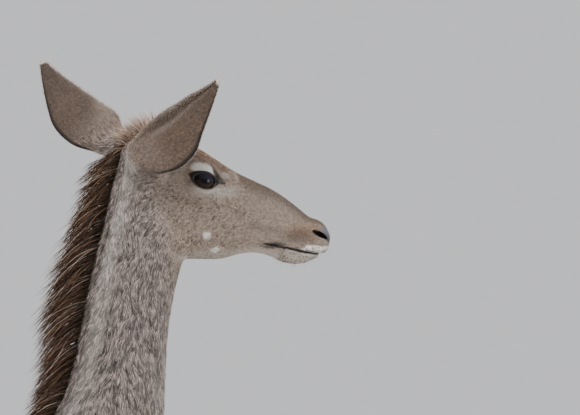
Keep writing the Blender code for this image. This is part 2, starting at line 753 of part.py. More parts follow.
def make_feet(name, sections, line, side, stride, leg, horn):
    """Two claws under the pastern and two dewclaws behind it."""
    centre_x, y = foot_centre(sections, line, stride)
    point, down = coronet_cut(centre_x)
    fetlock = leg_sections(sections, line, stride)[-5]
    for place, outward in (("outer", side), ("inner", -side)):
        hoof = claw("hoof", centre_x, side * y, outward, (point, down))
        finish(hoof, f"hoof_{name}_{place}", horn)
        spot = (fetlock[2] + 0.004, side * y + outward * 0.0135)
        small = dewclaw("dewclaw", *spot, outward, leg)
        finish(small, f"dewclaw_{name}_{place}", horn)


def centre_box(objects):
    """Moves everything so that the origin is under the middle of the whole box."""
    points = [v.co for obj in objects for v in obj.data.vertices]
    middle = [0.5 * (min(p[k] for p in points) + max(p[k] for p in points)) for k in (0, 1)]
    for obj in objects:
        obj.data.transform(Matrix.Translation((-middle[0], -middle[1], 0)))


def main():
    for obj in list(bpy.data.objects):
        bpy.data.objects.remove(obj)
    rng = random.Random(7)
    coat = material("coat", COAT, 0.85)
    neck_coat = material("neck_coat", NECK_COAT, 0.85)
    leg_coat = material("leg_coat", LEG_COAT, 0.85)
    ear_coat = material("ear_coat", EAR_COAT, 0.85)
    tail_coat = material("tail_coat", TAIL_COAT, 0.85)
    horn = material("hoof_horn", HORN_BLACK, 0.45)
    eye_surface = material("eye", EYE_BLACK, 0.08)
    between_eyes = (EYE_X, EYE_HEIGHT)

    body = make_body()
    parts = {n: copy_of(body, n) for n in ("neck", "torso", "legs")}
    turn_head(body)
    head_point, head_normal = cut_plane(HEAD_CUT, HEAD_TURN)
    shoulder_point, shoulder_normal = cut_plane(SHOULDER_CUT)

    neck = combined(parts["neck"], neck_mane(rng), "UNION")
    neck = largest(turn_head(neck))
    keep_side(neck, head_point, -head_normal)
    keep_side(neck, shoulder_point, shoulder_normal)
    finish(largest(neck), "neck", neck_coat)

    torso = combined(parts["torso"], spine_crest(rng), "UNION")
    torso = largest(torso)
    keep_side(torso, shoulder_point, -shoulder_normal)
    legs = parts["legs"]
    middle_x = (FRONT_LEG_X + HIND_LEG_X) / 2
    step_up = (HIND_LEG_TOP - FRONT_LEG_TOP) / (FRONT_LEG_X - HIND_LEG_X)
    level = Vector((step_up, 0, 1)).normalized()
    leg_point = Vector((middle_x, 0, (FRONT_LEG_TOP + HIND_LEG_TOP) / 2))
    keep_side(torso, leg_point, level)
    keep_side(legs, leg_point, -level)
    finish(largest(torso), "torso", coat)
    for name, sections, line, side, stride in LEGS:
        leg = copy_of(legs, name)
        keep_side(leg, (0, 0, 0), (0, side, 0))
        keep_side(leg, (middle_x, 0, 0), (1 if "front" in name else -1, 0, 0))
        centre_x, _ = foot_centre(sections, line, stride)
        point, down = coronet_cut(centre_x)
        keep_side(leg, point, -down)
        finish(largest(leg), f"leg_{name}", leg_coat)
        make_feet(name, sections, line, side, stride, leg, horn)
    bpy.data.objects.remove(legs)

    head = make_head()
    bare_head = turn_head(copy_of(head, "bare_head"))
    lids = [eyelids(side) for side in (-1, 1)]
    head = combined(head, lids + poll_tuft(rng, between_eyes), "UNION")
    eyes = [make_eye(side) for side in (-1, 1)]
    sockets = [grown(eye, "socket", 0.0005) for eye in eyes]
    cutters = [eye_opening(side) for side in (-1, 1)]
    cutters += [nostril(between_eyes, side) for side in (-1, 1)]
    cutters.append(mouth_groove(between_eyes))
    combined(head, sockets, "DIFFERENCE")
    combined(head, cutters, "DIFFERENCE")
    head = turn_head(largest(head))
    keep_side(head, head_point, head_normal)
    finish(largest(head), "head", coat)
    for eye in eyes:
        finish(turn_head(eye), eye.name, eye_surface)
    for ear in EARS:
        finish(make_ear(*ear, (bare_head, body)), ear[0], ear_coat)
    bpy.data.objects.remove(bare_head)
    bpy.data.objects.remove(body)

    tail = thinned(loft("tail", TAIL, 2), 300)
    combined(tail, tail_locks(rng), "UNION")
    combined(tail, [grown(torso, "clear", 0.0005)], "DIFFERENCE")
    finish(largest(tail), "tail", tail_coat)
    centre_box([o for o in bpy.data.objects if o.type == "MESH"])


main()
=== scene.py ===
"""The finish of a life-size greater kudu cow: skin, coat, mane, eyes and hooves.

Metres. +X is the way the trunk faces, +Y is her left and +Z is up. She is drawn straight, from
the same tables as the solids, a coat's depth inside them, and her coat is tufts rooted in that
skin and laid along its flow. Every piece is turned at the neck and put in its place at the end.
"""

import math
import random

import bmesh
import bpy
import numpy as np
from mathutils import Matrix, Vector
from mathutils.kdtree import KDTree


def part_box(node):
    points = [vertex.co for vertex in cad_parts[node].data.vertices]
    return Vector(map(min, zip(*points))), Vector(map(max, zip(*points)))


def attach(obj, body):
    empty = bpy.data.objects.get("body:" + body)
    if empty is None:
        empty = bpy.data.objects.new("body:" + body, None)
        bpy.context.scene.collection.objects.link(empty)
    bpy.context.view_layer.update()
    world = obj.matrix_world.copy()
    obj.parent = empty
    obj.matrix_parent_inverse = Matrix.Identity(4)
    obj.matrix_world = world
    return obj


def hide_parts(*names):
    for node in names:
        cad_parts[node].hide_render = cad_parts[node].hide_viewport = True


# Sizes shared with the solids
WITHERS_HEIGHT = 1.21
EYE_HEIGHT = 1.76
EYE_X = 0.62  # the eyes, forward of the middle of the trunk, before the head is turned
FRONT_LEG_X = 0.30
HIND_LEG_X = -0.655
EAR_LENGTH = 0.235
EYE_RADIUS = 0.0215
HOOF_LENGTH = 0.078
GAP = 0.0003  # between nodes that touch

# The head is turned about the upright line of the neck
NECK_AXIS_X = 0.49
HEAD_TURN = math.radians(15)
TURN_FROM, TURN_TO = 1.22, 1.58

# A section is (top x, top z, bottom x, bottom z, half width, widest, squareness, y).
# Widest is how far down the widest level lies, and squareness is the power of its outline.
# The trunk's sections are upright, and heights are measured from the withers.
TRUNK = (
    (-0.705, -0.17, -0.705, -0.33, 0.040, 0.45, 2.0, 0),
    (-0.680, -0.105, -0.690, -0.42, 0.095, 0.42, 2.0, 0),
    (-0.600, -0.050, -0.610, -0.50, 0.140, 0.42, 2.1, 0),
    (-0.470, -0.018, -0.470, -0.52, 0.165, 0.42, 2.2, 0),
    (-0.300, -0.026, -0.300, -0.500, 0.172, 0.48, 2.2, 0),
    (-0.100, -0.038, -0.100, -0.530, 0.200, 0.55, 2.1, 0),
    (0.080, -0.030, 0.080, -0.545, 0.203, 0.56, 2.1, 0),
    (0.210, 0.000, 0.230, -0.540, 0.175, 0.58, 2.0, 0),
    (0.300, -0.010, 0.350, -0.505, 0.150, 0.58, 2.0, 0),
    (0.400, -0.080, 0.440, -0.440, 0.118, 0.52, 2.0, 0),
    (0.470, -0.180, 0.490, -0.360, 0.070, 0.50, 2.0, 0),
)

# The neck's sections run square to it, and heights are from the floor
NECK = (
    (0.060, 1.150, 0.400, 0.760, 0.120, 0.55, 2.0, 0),
    (0.190, 1.205, 0.480, 0.880, 0.120, 0.58, 2.0, 0),
    (0.283, 1.262, 0.532, 1.030, 0.104, 0.56, 2.0, 0),
    (0.350, 1.335, 0.556, 1.180, 0.086, 0.54, 2.0, 0),
    (0.391, 1.410, 0.566, 1.310, 0.073, 0.52, 2.0, 0),
    (0.410, 1.480, 0.570, 1.420, 0.065, 0.50, 2.0, 0),
    (0.421, 1.550, 0.576, 1.505, 0.060, 0.50, 2.0, 0),
    (0.440, 1.630, 0.588, 1.575, 0.057, 0.48, 2.0, 0),
    (0.461, 1.710, 0.604, 1.628, 0.055, 0.46, 2.0, 0),
    (0.477, 1.775, 0.620, 1.665, 0.050, 0.44, 2.0, 0),
    (0.499, 1.824, 0.640, 1.700, 0.044, 0.44, 2.0, 0),
)

# The head's sections are measured from the point midway between the eyes
HEAD = (
    (-0.134, 0.052, -0.116, -0.060, 0.034, 0.42, 2.1, 0),
    (-0.112, 0.072, -0.100, -0.100, 0.047, 0.42, 2.2, 0),
    (-0.078, 0.078, -0.078, -0.124, 0.053, 0.44, 2.2, 0),
    (-0.038, 0.069, -0.048, -0.134, 0.058, 0.46, 2.2, 0),
    (0.004, 0.053, -0.018, -0.137, 0.059, 0.42, 2.3, 0),
    (0.040, 0.031, 0.012, -0.138, 0.055, 0.42, 2.3, 0),
    (0.074, 0.010, 0.048, -0.139, 0.047, 0.45, 2.3, 0),
    (0.108, -0.006, 0.083, -0.132, 0.039, 0.50, 2.3, 0),
    (0.144, -0.024, 0.116, -0.132, 0.033, 0.52, 2.4, 0),
    (0.178, -0.048, 0.146, -0.141, 0.030, 0.50, 2.4, 0),
    (0.204, -0.069, 0.171, -0.149, 0.029, 0.48, 2.4, 0),
    (0.225, -0.081, 0.195, -0.150, 0.027, 0.44, 2.4, 0),
    (0.239, -0.092, 0.218, -0.141, 0.022, 0.46, 2.2, 0),
    (0.246, -0.103, 0.239, -0.129, 0.012, 0.50, 2.0, 0),
)

# A leg's sections lie level: (front x, height, back x, height, half width, ..., y), with x
# measured from the leg's own upright line
FRONT_LEG = (
    (0.120, 0.93, -0.100, 0.95, 0.040, 0.5, 2.0, 0.120),
    (0.118, 0.83, -0.105, 0.83, 0.055, 0.5, 2.0, 0.122),
    (0.078, 0.74, -0.098, 0.74, 0.051, 0.5, 2.0, 0.119),
    (0.055, 0.66, -0.070, 0.66, 0.043, 0.5, 2.0, 0.115),
    (0.040, 0.56, -0.046, 0.56, 0.034, 0.5, 2.0, 0.111),
    (0.032, 0.47, -0.033, 0.47, 0.028, 0.5, 2.1, 0.108),
    (0.036, 0.415, -0.034, 0.415, 0.030, 0.5, 2.3, 0.106),
    (0.031, 0.375, -0.030, 0.375, 0.026, 0.5, 2.3, 0.105),
    (0.020, 0.33, -0.026, 0.33, 0.019, 0.5, 2.1, 0.104),
    (0.017, 0.24, -0.025, 0.24, 0.018, 0.5, 2.0, 0.103),
    (0.020, 0.175, -0.030, 0.175, 0.021, 0.5, 2.0, 0.102),
    (0.026, 0.145, -0.036, 0.145, 0.026, 0.5, 2.0, 0.102),
    (0.034, 0.110, -0.024, 0.107, 0.024, 0.5, 2.0, 0.102),
    (0.047, 0.078, -0.010, 0.070, 0.0235, 0.5, 2.0, 0.102),
    (0.064, 0.045, 0.002, 0.036, 0.027, 0.5, 2.2, 0.102),
    (0.070, 0.020, 0.004, 0.010, 0.027, 0.5, 2.2, 0.102),
)
HIND_LEG = (
    (0.275, 0.98, 0.010, 0.98, 0.050, 0.5, 2.0, 0.105),
    (0.315, 0.87, -0.005, 0.87, 0.062, 0.5, 2.0, 0.116),
    (0.312, 0.77, 0.008, 0.77, 0.060, 0.5, 2.0, 0.118),
    (0.272, 0.69, 0.018, 0.69, 0.050, 0.5, 2.0, 0.115),
    (0.192, 0.62, 0.014, 0.62, 0.038, 0.5, 2.0, 0.111),
    (0.118, 0.565, -0.022, 0.57, 0.030, 0.5, 2.0, 0.108),
    (0.068, 0.525, -0.048, 0.535, 0.027, 0.5, 2.2, 0.106),
    (0.042, 0.48, -0.043, 0.49, 0.027, 0.5, 2.3, 0.105),
    (0.025, 0.43, -0.033, 0.43, 0.023, 0.5, 2.2, 0.104),
    (0.018, 0.36, -0.027, 0.36, 0.019, 0.5, 2.0, 0.103),
    (0.020, 0.26, -0.022, 0.26, 0.018, 0.5, 2.0, 0.102),
    (0.026, 0.18, -0.024, 0.18, 0.021, 0.5, 2.0, 0.102),
    (0.034, 0.15, -0.028, 0.15, 0.026, 0.5, 2.0, 0.102),
    (0.044, 0.113, -0.014, 0.109, 0.024, 0.5, 2.0, 0.102),
    (0.058, 0.078, 0.001, 0.070, 0.0235, 0.5, 2.0, 0.102),
    (0.076, 0.045, 0.014, 0.036, 0.027, 0.5, 2.2, 0.102),
    (0.082, 0.020, 0.016, 0.010, 0.027, 0.5, 2.2, 0.102),
)

# The tail's sections run square to it: (outer x, z, inner x, z, half width, ...)
TAIL = (
    (-0.660, 1.105, -0.680, 1.045, 0.020, 0.5, 2.0, 0),
    (-0.705, 1.088, -0.706, 1.040, 0.024, 0.5, 2.0, 0),
    (-0.742, 1.055, -0.720, 1.020, 0.023, 0.5, 2.0, 0),
    (-0.760, 1.000, -0.730, 0.985, 0.022, 0.5, 2.0, 0),
    (-0.768, 0.920, -0.741, 0.920, 0.020, 0.5, 2.0, 0),
    (-0.768, 0.840, -0.745, 0.840, 0.018, 0.5, 2.0, 0),
    (-0.764, 0.780, -0.745, 0.780, 0.015, 0.5, 2.0, 0),
    (-0.760, 0.745, -0.748, 0.745, 0.008, 0.5, 2.0, 0),
)

# Each leg: (name, sections, upright line, side, how far its foot is set forward)
LEGS = (
    ("front_right", FRONT_LEG, FRONT_LEG_X, -1, 0.015),
    ("front_left", FRONT_LEG, FRONT_LEG_X, 1, -0.045),
    ("hind_right", HIND_LEG, HIND_LEG_X, -1, -0.040),
    ("hind_left", HIND_LEG, HIND_LEG_X, 1, 0.035),
)
STRIDE_FROM = 0.95  # the height where a leg starts to lean towards its foot

# Muscles and bone under the skin: (x, y, z, radii, pitch in degrees). Those with a y are paired.
BODY_MASSES = (
    (0.275, 0.098, 0.985, (0.120, 0.058, 0.215), 24),  # shoulder blade
    (0.362, 0.094, 0.885, (0.080, 0.052, 0.100), 20),  # point of the shoulder
    (0.290, 0.112, 0.790, (0.085, 0.050, 0.120), 6),  # upper arm
    (-0.500, 0.098, 0.930, (0.175, 0.070, 0.210), -12),  # haunch
    (-0.610, 0.078, 0.890, (0.085, 0.064, 0.150), 8),  # buttock
    (-0.400, 0.102, 0.810, (0.095, 0.052, 0.140), 24),  # thigh above the stifle
)
# Measured from the point midway between the eyes
HEAD_MASSES = (
    (-0.001, 0.045, 0.001, (0.036, 0.019, 0.029), 20),  # rim of the eye socket
    (-0.008, 0.042, 0.029, (0.036, 0.020, 0.013), 24),  # brow
    (-0.030, 0.034, -0.068, (0.060, 0.025, 0.062), 25),  # cheek
    (0.020, 0.040, -0.030, (0.072, 0.014, 0.022), 26),  # ridge under the eye
    (0.208, 0.0155, -0.111, (0.032, 0.0175, 0.020), 18),  # upper lip
    (0.181, 0.000, -0.137, (0.036, 0.022, 0.014), 2),  # chin
    (0.216, 0.017, -0.088, (0.023, 0.013, 0.012), 34),  # wing of the nostril
    (-0.097, 0.040, 0.027, (0.032, 0.022, 0.036), 0),  # root of the ear
    (-0.086, 0.057, 0.011, (0.017, 0.014, 0.014), 0),  # fold at the ear's foot
)

EAR_ROOT = (-0.099, 0.060, 0.029)
EARS = (
    ("ear_right", -1, (0.054, -0.178, 0.154), (0.978, 0.083, -0.192), -0.0067),
    ("ear_left", 1, (-0.082, 0.152, 0.154), (-0.083, 0.718, -0.691), 0.019),
)
# Along the ear: (share of its length, half its width if laid flat, its wrap, share of its sway,
# how far its back bows out)
EAR_SHAPE = (
    (-0.09, 0.042, 2.57, 0.00, 1.07),
    (0.00, 0.052, 2.38, 0.55, 1.20),
    (0.08, 0.061, 2.07, 1.10, 1.26),
    (0.20, 0.074, 1.62, 1.25, 1.13),
    (0.34, 0.079, 1.29, 0.62, 0.88),
    (0.50, 0.070, 1.19, 0.50, 0.66),
    (0.64, 0.053, 1.17, 0.60, 0.69),
    (0.78, 0.0345, 1.15, 0.55, 0.66),
    (0.90, 0.0178, 1.05, 0.45, 0.59),
    (1.00, 0.0050, 0.87, 0.28, 0.56),
)
EAR_THICKNESS = 0.0036
HEAD_CUT = (0.538, 1.720, 16)
CORONET_LEAN, CORONET_HEIGHT = 14, 0.050
RING = 40  # points round a cross-section

SKIN_VOXEL = 0.0032
POLL = Vector((HEAD_CUT[0], 0, HEAD_CUT[1]))
POLL_NORMAL = Vector((math.cos(math.radians(HEAD_CUT[2])), 0, math.sin(math.radians(HEAD_CUT[2]))))
FACE = np.array((EYE_X, 0, EYE_HEIGHT))  # the point midway between the eyes
LID_FORWARD = Vector((1, 0, -0.30)).normalized()
LID_UP = Vector((0.30, 0, 1)).normalized()
OPEN_BACK, OPEN_FRONT, OPEN_HIGH = 0.0205, 0.0262, 0.0122  # the opening between the lids
NOSTRIL = (0.218, 0.0225, -0.102)


def between(rows, steps):
    """The rows of a table with smooth ones between them, on a curve through them all."""
    table = np.array(rows, float)
    ends = np.vstack([2 * table[0] - table[1], table, 2 * table[-1] - table[-2]])
    found = []
    for i in range(len(table) - 1):
        a, b, c, d = ends[i : i + 4]
        for t in np.arange(steps) / steps:
            bend = (2 * a - 5 * b + 4 * c - d) * t * t + (3 * b - a - 3 * c + d) * t**3
            found.append(b + 0.5 * ((c - a) * t + bend))
    found.append(table[-1])
    return np.array(found)


def share(value, low, high):
    """0 below low, 1 above high, and an even ease between them."""
    t = np.clip((value - low) / (high - low), 0, 1)
    return t * t * (3 - 2 * t)


def unit(vectors):
    return vectors / np.maximum(np.linalg.norm(vectors, axis=-1, keepdims=True), 1e-9)


def dot(a, b):
    return np.sum(a * b, axis=-1)


def spun(points, angle, about=NECK_AXIS_X):
    """Points turned by an angle each about the upright line of the neck."""
    x, y, z = np.asarray(points, float).T
    dx, c, s = x - about, np.cos(angle), np.sin(angle)
    return np.stack([about + c * dx - s * y, s * dx + c * y, z], 1)


def turned(points):
    """Where points of the straight animal go when the head is turned."""
    points = np.asarray(points, float)
    return spun(points, HEAD_TURN * share(points[:, 2], TURN_FROM, TURN_TO))


def new_object(name, bm, material_index=0):
    bmesh.ops.recalc_face_normals(bm, faces=bm.faces)
    for face in bm.faces:
        face.material_index = material_index
    mesh = bpy.data.meshes.new(name)
    bm.to_mesh(mesh)
    bm.free()
    return linked(name, mesh)


def linked(name, mesh):
    obj = bpy.data.objects.new(name, mesh)
    bpy.context.scene.collection.objects.link(obj)
    return obj


def skin_over(name, rings, tip=None, folded=False, material_index=0):
    """A closed body over rings of points. Fans close its ends, the last at tip.

    A folded ring is two arcs, there and back, and its ends are closed from arc to arc."""
    bm = bmesh.new()
    loops = [[bm.verts.new(p) for p in ring] for ring in rings]
    count = len(loops[0])
    for near, far in zip(loops, loops[1:]):
        for i in range(count):
            j = (i + 1) % count
            bm.faces.new((near[i], near[j], far[j], far[i]))
    for loop, peak in ((loops[0], None), (loops[-1], tip)):
        if folded:
            for i in range(count // 2 - 1):
                bm.faces.new((loop[i], loop[i + 1], loop[-2 - i], loop[-1 - i]))
            continue
        middle = bm.verts.new(peak or sum((v.co for v in loop), Vector()) / count)
        for i in range(count):
            bm.faces.new((loop[i], loop[(i + 1) % count], middle))
    return new_object(name, bm, material_index)


def section_ring(section, side=1):
    """The points round one section: flattened ellipses that meet at its widest level."""
    tx, tz, bx, bz, half_width, widest, square, y = section
    top, bottom = Vector((tx, side * y, tz)), Vector((bx, side * y, bz))
    middle = top.lerp(bottom, widest)
    ring = []
    for i in range(RING):
        turn = math.tau * i / RING
        across = math.copysign(abs(math.cos(turn)) ** (2 / square), math.cos(turn))
        up = abs(math.sin(turn)) ** (2 / square)
        height = (top if math.sin(turn) > 0 else bottom) - middle
        ring.append(middle + height * up + Vector((0, across * half_width, 0)))
    return ring


def loft(name, sections, steps=4, side=1):
    return skin_over(name, [section_ring(s, side) for s in between(sections, steps)])


def moved(sections, x, z):
    """A table's sections, shifted along x and z."""
    return [(s[0] + x, s[1] + z, s[2] + x, s[3] + z, *s[4:]) for s in sections]


def ball(name, centre, radii, pitch=0.0, detail=4, spin=None, material_index=0):
    """An ellipsoid. Pitch tips its front end down, and spin is any further turn."""
    bm = bmesh.new()
    bmesh.ops.create_icosphere(bm, subdivisions=detail, radius=1)
    tilt = Matrix.Rotation(math.radians(pitch), 4, "Y")
    place = Matrix.Translation(centre) @ (spin or Matrix()) @ tilt
    bm.transform(place @ Matrix.Diagonal((*radii, 1)))
    return new_object(name, bm, material_index)


def masses(table, origin):
    made = []
    for x, y, z, radii, pitch in table:
        for side in (-1, 1) if y else (1,):
            centre = (origin[0] + x, side * y, origin[1] + z)
            made.append(ball("mass", centre, radii, pitch))
    return made


def evaluated(obj):
    """The object with its modifiers made real."""
    graph = bpy.context.evaluated_depsgraph_get()
    mesh = bpy.data.meshes.new_from_object(obj.evaluated_get(graph))
    obj.modifiers.clear()
    obj.data = mesh
    return obj


def joined(name, pieces):
    bm = bmesh.new()
    for piece in pieces:
        bm.from_mesh(piece.data)
        bpy.data.objects.remove(piece)
    return new_object(name, bm)


def combined(obj, others, operation):
    """One Boolean of the object with all the others, which are then removed."""
    group = bpy.data.collections.new("operands")
    bpy.context.scene.collection.children.link(group)
    for other in others:
        bpy.context.scene.collection.objects.unlink(other)
        group.objects.link(other)
    boolean = obj.modifiers.new("combine", "BOOLEAN")
    boolean.operation = operation
    boolean.solver = "MANIFOLD"
    boolean.operand_type = "COLLECTION"
    boolean.collection = group
    evaluated(obj)
    for other in others:
        bpy.data.objects.remove(other)
    bpy.data.collections.remove(group)
    return obj


def read(items, name, width, kind=np.float32):
    """One property of all vertices, edges or faces as an array."""
    values = np.empty(len(items) * width, kind)
    items.foreach_get(name, values)
    return values.reshape(-1, width) if width > 1 else values


def points_of(obj):
    return read(obj.data.vertices, "co", 3).astype(float)


def normals_of(obj):
    return read(obj.data.vertices, "normal", 3).astype(float)


def set_points(obj, points):
    obj.data.vertices.foreach_set("co", np.asarray(points, np.float32).ravel())
    obj.data.update()


def smoothed(obj, weights, rounds):
    """Evens the surface, as far as each vertex's weight."""
    points = points_of(obj)
    a, b = read(obj.data.edges, "vertices", 2, np.int32).T
    count = len(points)
    links = np.maximum(np.bincount(a, minlength=count) + np.bincount(b, minlength=count), 1)
    pull = 0.5 * weights[:, None]
    for _ in range(rounds):
        mean = [
            np.bincount(a, points[b, k], count) + np.bincount(b, points[a, k], count)
            for k in range(3)
        ]
        points += (np.stack(mean, 1) / links[:, None] - points) * pull
    set_points(obj, points)


def past_poll(points):
    """How far points lie ahead of the plane where the neck becomes the head."""
    return dot(points - np.array(POLL), np.array(POLL_NORMAL))


def leg_sections(sections, line, stride):
    """A leg's sections in place, leaning towards its foot."""
    made = []
    for tx, tz, bx, bz, *rest in sections:
        lean = stride * max(0.0, 1 - (tz + bz) / 2 / STRIDE_FROM)
        made.append((tx + line + lean, tz, bx + line + lean, bz, *rest))
    return made


def foot_centre(sections, line, stride):
    low = leg_sections(sections, line, stride)[-2]
    return 0.5 * (low[0] + low[2]), low[7]


def below_coronet(sections, line, side, stride):
    """A block under the slanting plane between pastern and hoof."""
    x, y = foot_centre(sections, line, stride)
    bm = bmesh.new()
    bmesh.ops.create_cube(bm, size=0.20)
    tilt = Matrix.Rotation(math.radians(-CORONET_LEAN), 4, "Y")
    place = Matrix.Translation((x, side * y, CORONET_HEIGHT + 0.0002)) @ tilt
    bm.transform(place @ Matrix.Translation((0, 0, -0.10)))
    return new_object("below", bm)


def eye_centre(side):
    return Vector((EYE_X - 0.006, side * 0.0540, EYE_HEIGHT))


def eye_look(side):
    """The eye looks straight outwards."""
    return Matrix.Rotation(math.radians(side * 90), 3, "Z") @ Vector((1, 0, 0))


def lid_reach(points):
    """How far points lie from the middle of the near eye, as a share of its opening, and
    how far forward and up."""
    side = np.where(points[:, 1] < 0, -1, 1)
    away = points - np.stack([np.full(len(points), EYE_X - 0.006), side * 0.054,
                              np.full(len(points), EYE_HEIGHT)], 1)
    along, high = away @ np.array(LID_FORWARD), away @ np.array(LID_UP)
    reach = np.where(along < 0, OPEN_BACK, OPEN_FRONT) * 0.98
    forward = np.clip(along / reach, 0, 1)
    tall = OPEN_HIGH * (1 - 0.35 * forward**2)
    share_out = np.hypot(along / reach, high / tall)
    near = np.linalg.norm(away, axis=1)
    return np.where(near < 0.06, share_out, 9.0), along, high


def eye_opening(side):
    """The almond between the lids, drawn out towards its front corner."""
    rings = []
    look = eye_look(side)
    for depth, grow in ((0.002, 0.75), (0.014, 0.95), (0.040, 1.35)):
        ring = []
        for i in range(48):
            turn = math.tau * i / 48
            along, high = math.cos(turn), math.sin(turn)
            reach = OPEN_BACK if along < 0 else OPEN_FRONT
            pinch = 1 - 0.35 * max(0.0, along) ** 2
            edge = LID_FORWARD * along * reach + LID_UP * high * OPEN_HIGH * pinch
            ring.append(eye_centre(side) + look * depth + edge * grow)
        rings.append(ring)
    return skin_over("opening", rings, material_index=3)


def mouth_line(x):
    """How high the mouth runs at a distance forward of the eyes, and how far along that is."""
    ahead = np.clip((x - 0.116) / 0.118, 0, 1)
    return -0.112 - 0.0265 * ahead + 0.004 * ahead**8, ahead


def nostril(side):
    centre = (EYE_X + NOSTRIL[0], side * NOSTRIL[1], EYE_HEIGHT + NOSTRIL[2])
    spin = Matrix.Rotation(math.radians(-24 * side), 4, "Z")
    return ball("nostril", centre, (0.0185, 0.0090, 0.0056), 30, 4, spin, 4)


def ear_frame(side, tip, opening):
    root = Vector((EYE_X + EAR_ROOT[0], side * EAR_ROOT[1], EYE_HEIGHT + EAR_ROOT[2]))
    axis = Vector(tip).normalized()
    mouth = Vector(opening)
    mouth = (mouth - axis * mouth.dot(axis)).normalized()
    return root, axis, mouth, axis.cross(mouth)


def ear_rows(side, tip, opening, sway, steps):
    """Along the ear: share of its length, middle of its curve, radius, wrap and thickness."""
    root, axis, mouth, across = ear_frame(side, tip, opening)
    for reach, half_width, wrap, aside, bowed in between(EAR_SHAPE, steps):
        radius = half_width / wrap
        bow = bowed * radius * (1 - math.cos(wrap))
        spine = root + axis * reach * EAR_LENGTH + across * sway * aside - mouth * bow
        thick = min(EAR_THICKNESS * (1.3 - 0.6 * reach), 0.6 * radius)
        yield reach, spine + mouth * radius, radius, wrap, thick


def make_ear(name, side, tip, opening, sway):
    """A cupped leaf on a solid root: rings of an outer and an inner arc."""
    root, axis, mouth, across = ear_frame(side, tip, opening)
    rings, arc = [], 33
    for reach, centre, radius, wrap, thick in ear_rows(side, tip, opening, sway, 6):
        outer, inner = [], []
        for i in range(arc):
            span = 2 * i / (arc - 1) - 1
            turn = wrap * span
            ray = across * math.sin(turn) - mouth * math.cos(turn)
            rim = 1 - 0.55 * abs(span) ** 3
            outer.append(centre + ray * (radius - 0.0006))
            inner.append(centre + ray * (radius - 0.0006 - thick * rim * 0.8))
        rings.append(outer + inner[::-1])
    return skin_over(name, rings, folded=True, material_index=1)


def refine(obj, inside):
    """Splits every edge whose ends both lie inside."""
    chosen = inside(points_of(obj))
    bm = bmesh.new()
    bm.from_mesh(obj.data)
    edges = [e for e in bm.edges if chosen[e.verts[0].index] and chosen[e.verts[1].index]]
    bmesh.ops.subdivide_edges(bm, edges=edges, cuts=1, use_grid_fill=True)
    bmesh.ops.triangulate(bm, faces=[f for f in bm.faces if len(f.verts) > 4])
    bm.to_mesh(obj.data)
    bm.free()


def thin_out(obj, weights, triangles):
    """Takes triangles out where the weight is above 0, until so many are left."""
    group = obj.vertex_groups.new(name="thin")
    group.add(np.flatnonzero(weights > 0.5).tolist(), 1.0, "REPLACE")
    faces = sum(len(p.vertices) - 2 for p in obj.data.polygons)
    thin = obj.modifiers.new("thin", "DECIMATE")
    thin.ratio = min(1.0, triangles / faces)
    thin.vertex_group = "thin"
    evaluated(obj)
    obj.vertex_groups.clear()


def touching(obj, kinds):
    """Which vertices belong to a face of one of these kinds."""
    found = np.zeros(len(obj.data.vertices), bool)
    kind = read(obj.data.polygons, "material_index", 1, np.int32)
    start = read(obj.data.polygons, "loop_start", 1, np.int32)
    total = read(obj.data.polygons, "loop_total", 1, np.int32)
    corner = read(obj.data.loops, "vertex_index", 1, np.int32)
    found[corner[np.repeat(np.isin(kind, list(kinds)), total)]] = True
    return found


def distance_to(points, targets, limit):
    """How far each point is from the nearest target, or the limit where that is less."""
    found = np.full(len(points), limit, float)
    low, high = targets.min(0) - limit, targets.max(0) + limit
    near = np.flatnonzero(np.all((points > low) & (points < high), axis=1))
    tree = KDTree(len(targets))
    for i, target in enumerate(targets):
        tree.insert(target, i)
    tree.balance()
    for i in near:
        found[i] = min(limit, tree.find(points[i])[2])
    return found


def soften_about(obj, targets, reach, rounds):
    """Evens the surface within a reach of the targets, most of all beside them."""
    away = distance_to(points_of(obj), targets, reach)
    smoothed(obj, 1 - share(away, 0.2 * reach, reach), rounds)


def coat_depth(points):
    """How deep the skin lies under the tips of the coat."""
    face = points - FACE
    head = share(past_poll(points), -0.08, 0.03)
    muzzle = share(face[:, 0], 0.10, 0.19)
    leg = 1 - share(points[:, 2], 0.45, 0.75)
    body = 0.0050 - 0.0030 * leg
    return body + (0.0022 - 0.0015 * muzzle - body) * head


def shape_face(points, normals):
    """Presses the mouth line in, rolls the lips beside it and folds the skin about the eyes."""
    face = points - FACE
    line, ahead = mouth_line(face[:, 0])
    off = face[:, 2] - line
    in_reach = share(face[:, 0], 0.112, 0.124)
    push = -0.0050 * np.exp(-((off / 0.0017) ** 2)) * in_reach
    push += 0.0013 * np.exp(-(((off - 0.0058) / 0.0040) ** 2)) * share(ahead, 0.25, 0.7)
    push += 0.0012 * np.exp(-(((off + 0.0055) / 0.0038) ** 2)) * share(ahead, 0.3, 0.7)
    middle = np.exp(-((face[:, 1] / 0.0016) ** 2)) * share(face[:, 0], 0.225, 0.236)
    push -= 0.0016 * middle * share(face[:, 2], -0.124, -0.112)
    out, along, high = lid_reach(points)
    push += 0.0007 * np.exp(-(((out - 1.16) / 0.13) ** 2))
    upper = share(high, 0.002, 0.010)
    push -= 0.0011 * np.exp(-(((out - 1.62) / 0.14) ** 2)) * upper
    push -= 0.0006 * np.exp(-(((out - 1.60) / 0.14) ** 2)) * share(-high, 0.002, 0.010)
    corner = np.exp(-(((high + 0.0022) / 0.0016) ** 2)) * share(along, 0.018, 0.024)
    push -= 0.0022 * corner * (1 - share(along, 0.034, 0.044)) * (out < 5)
    return points + normals * push[:, None]


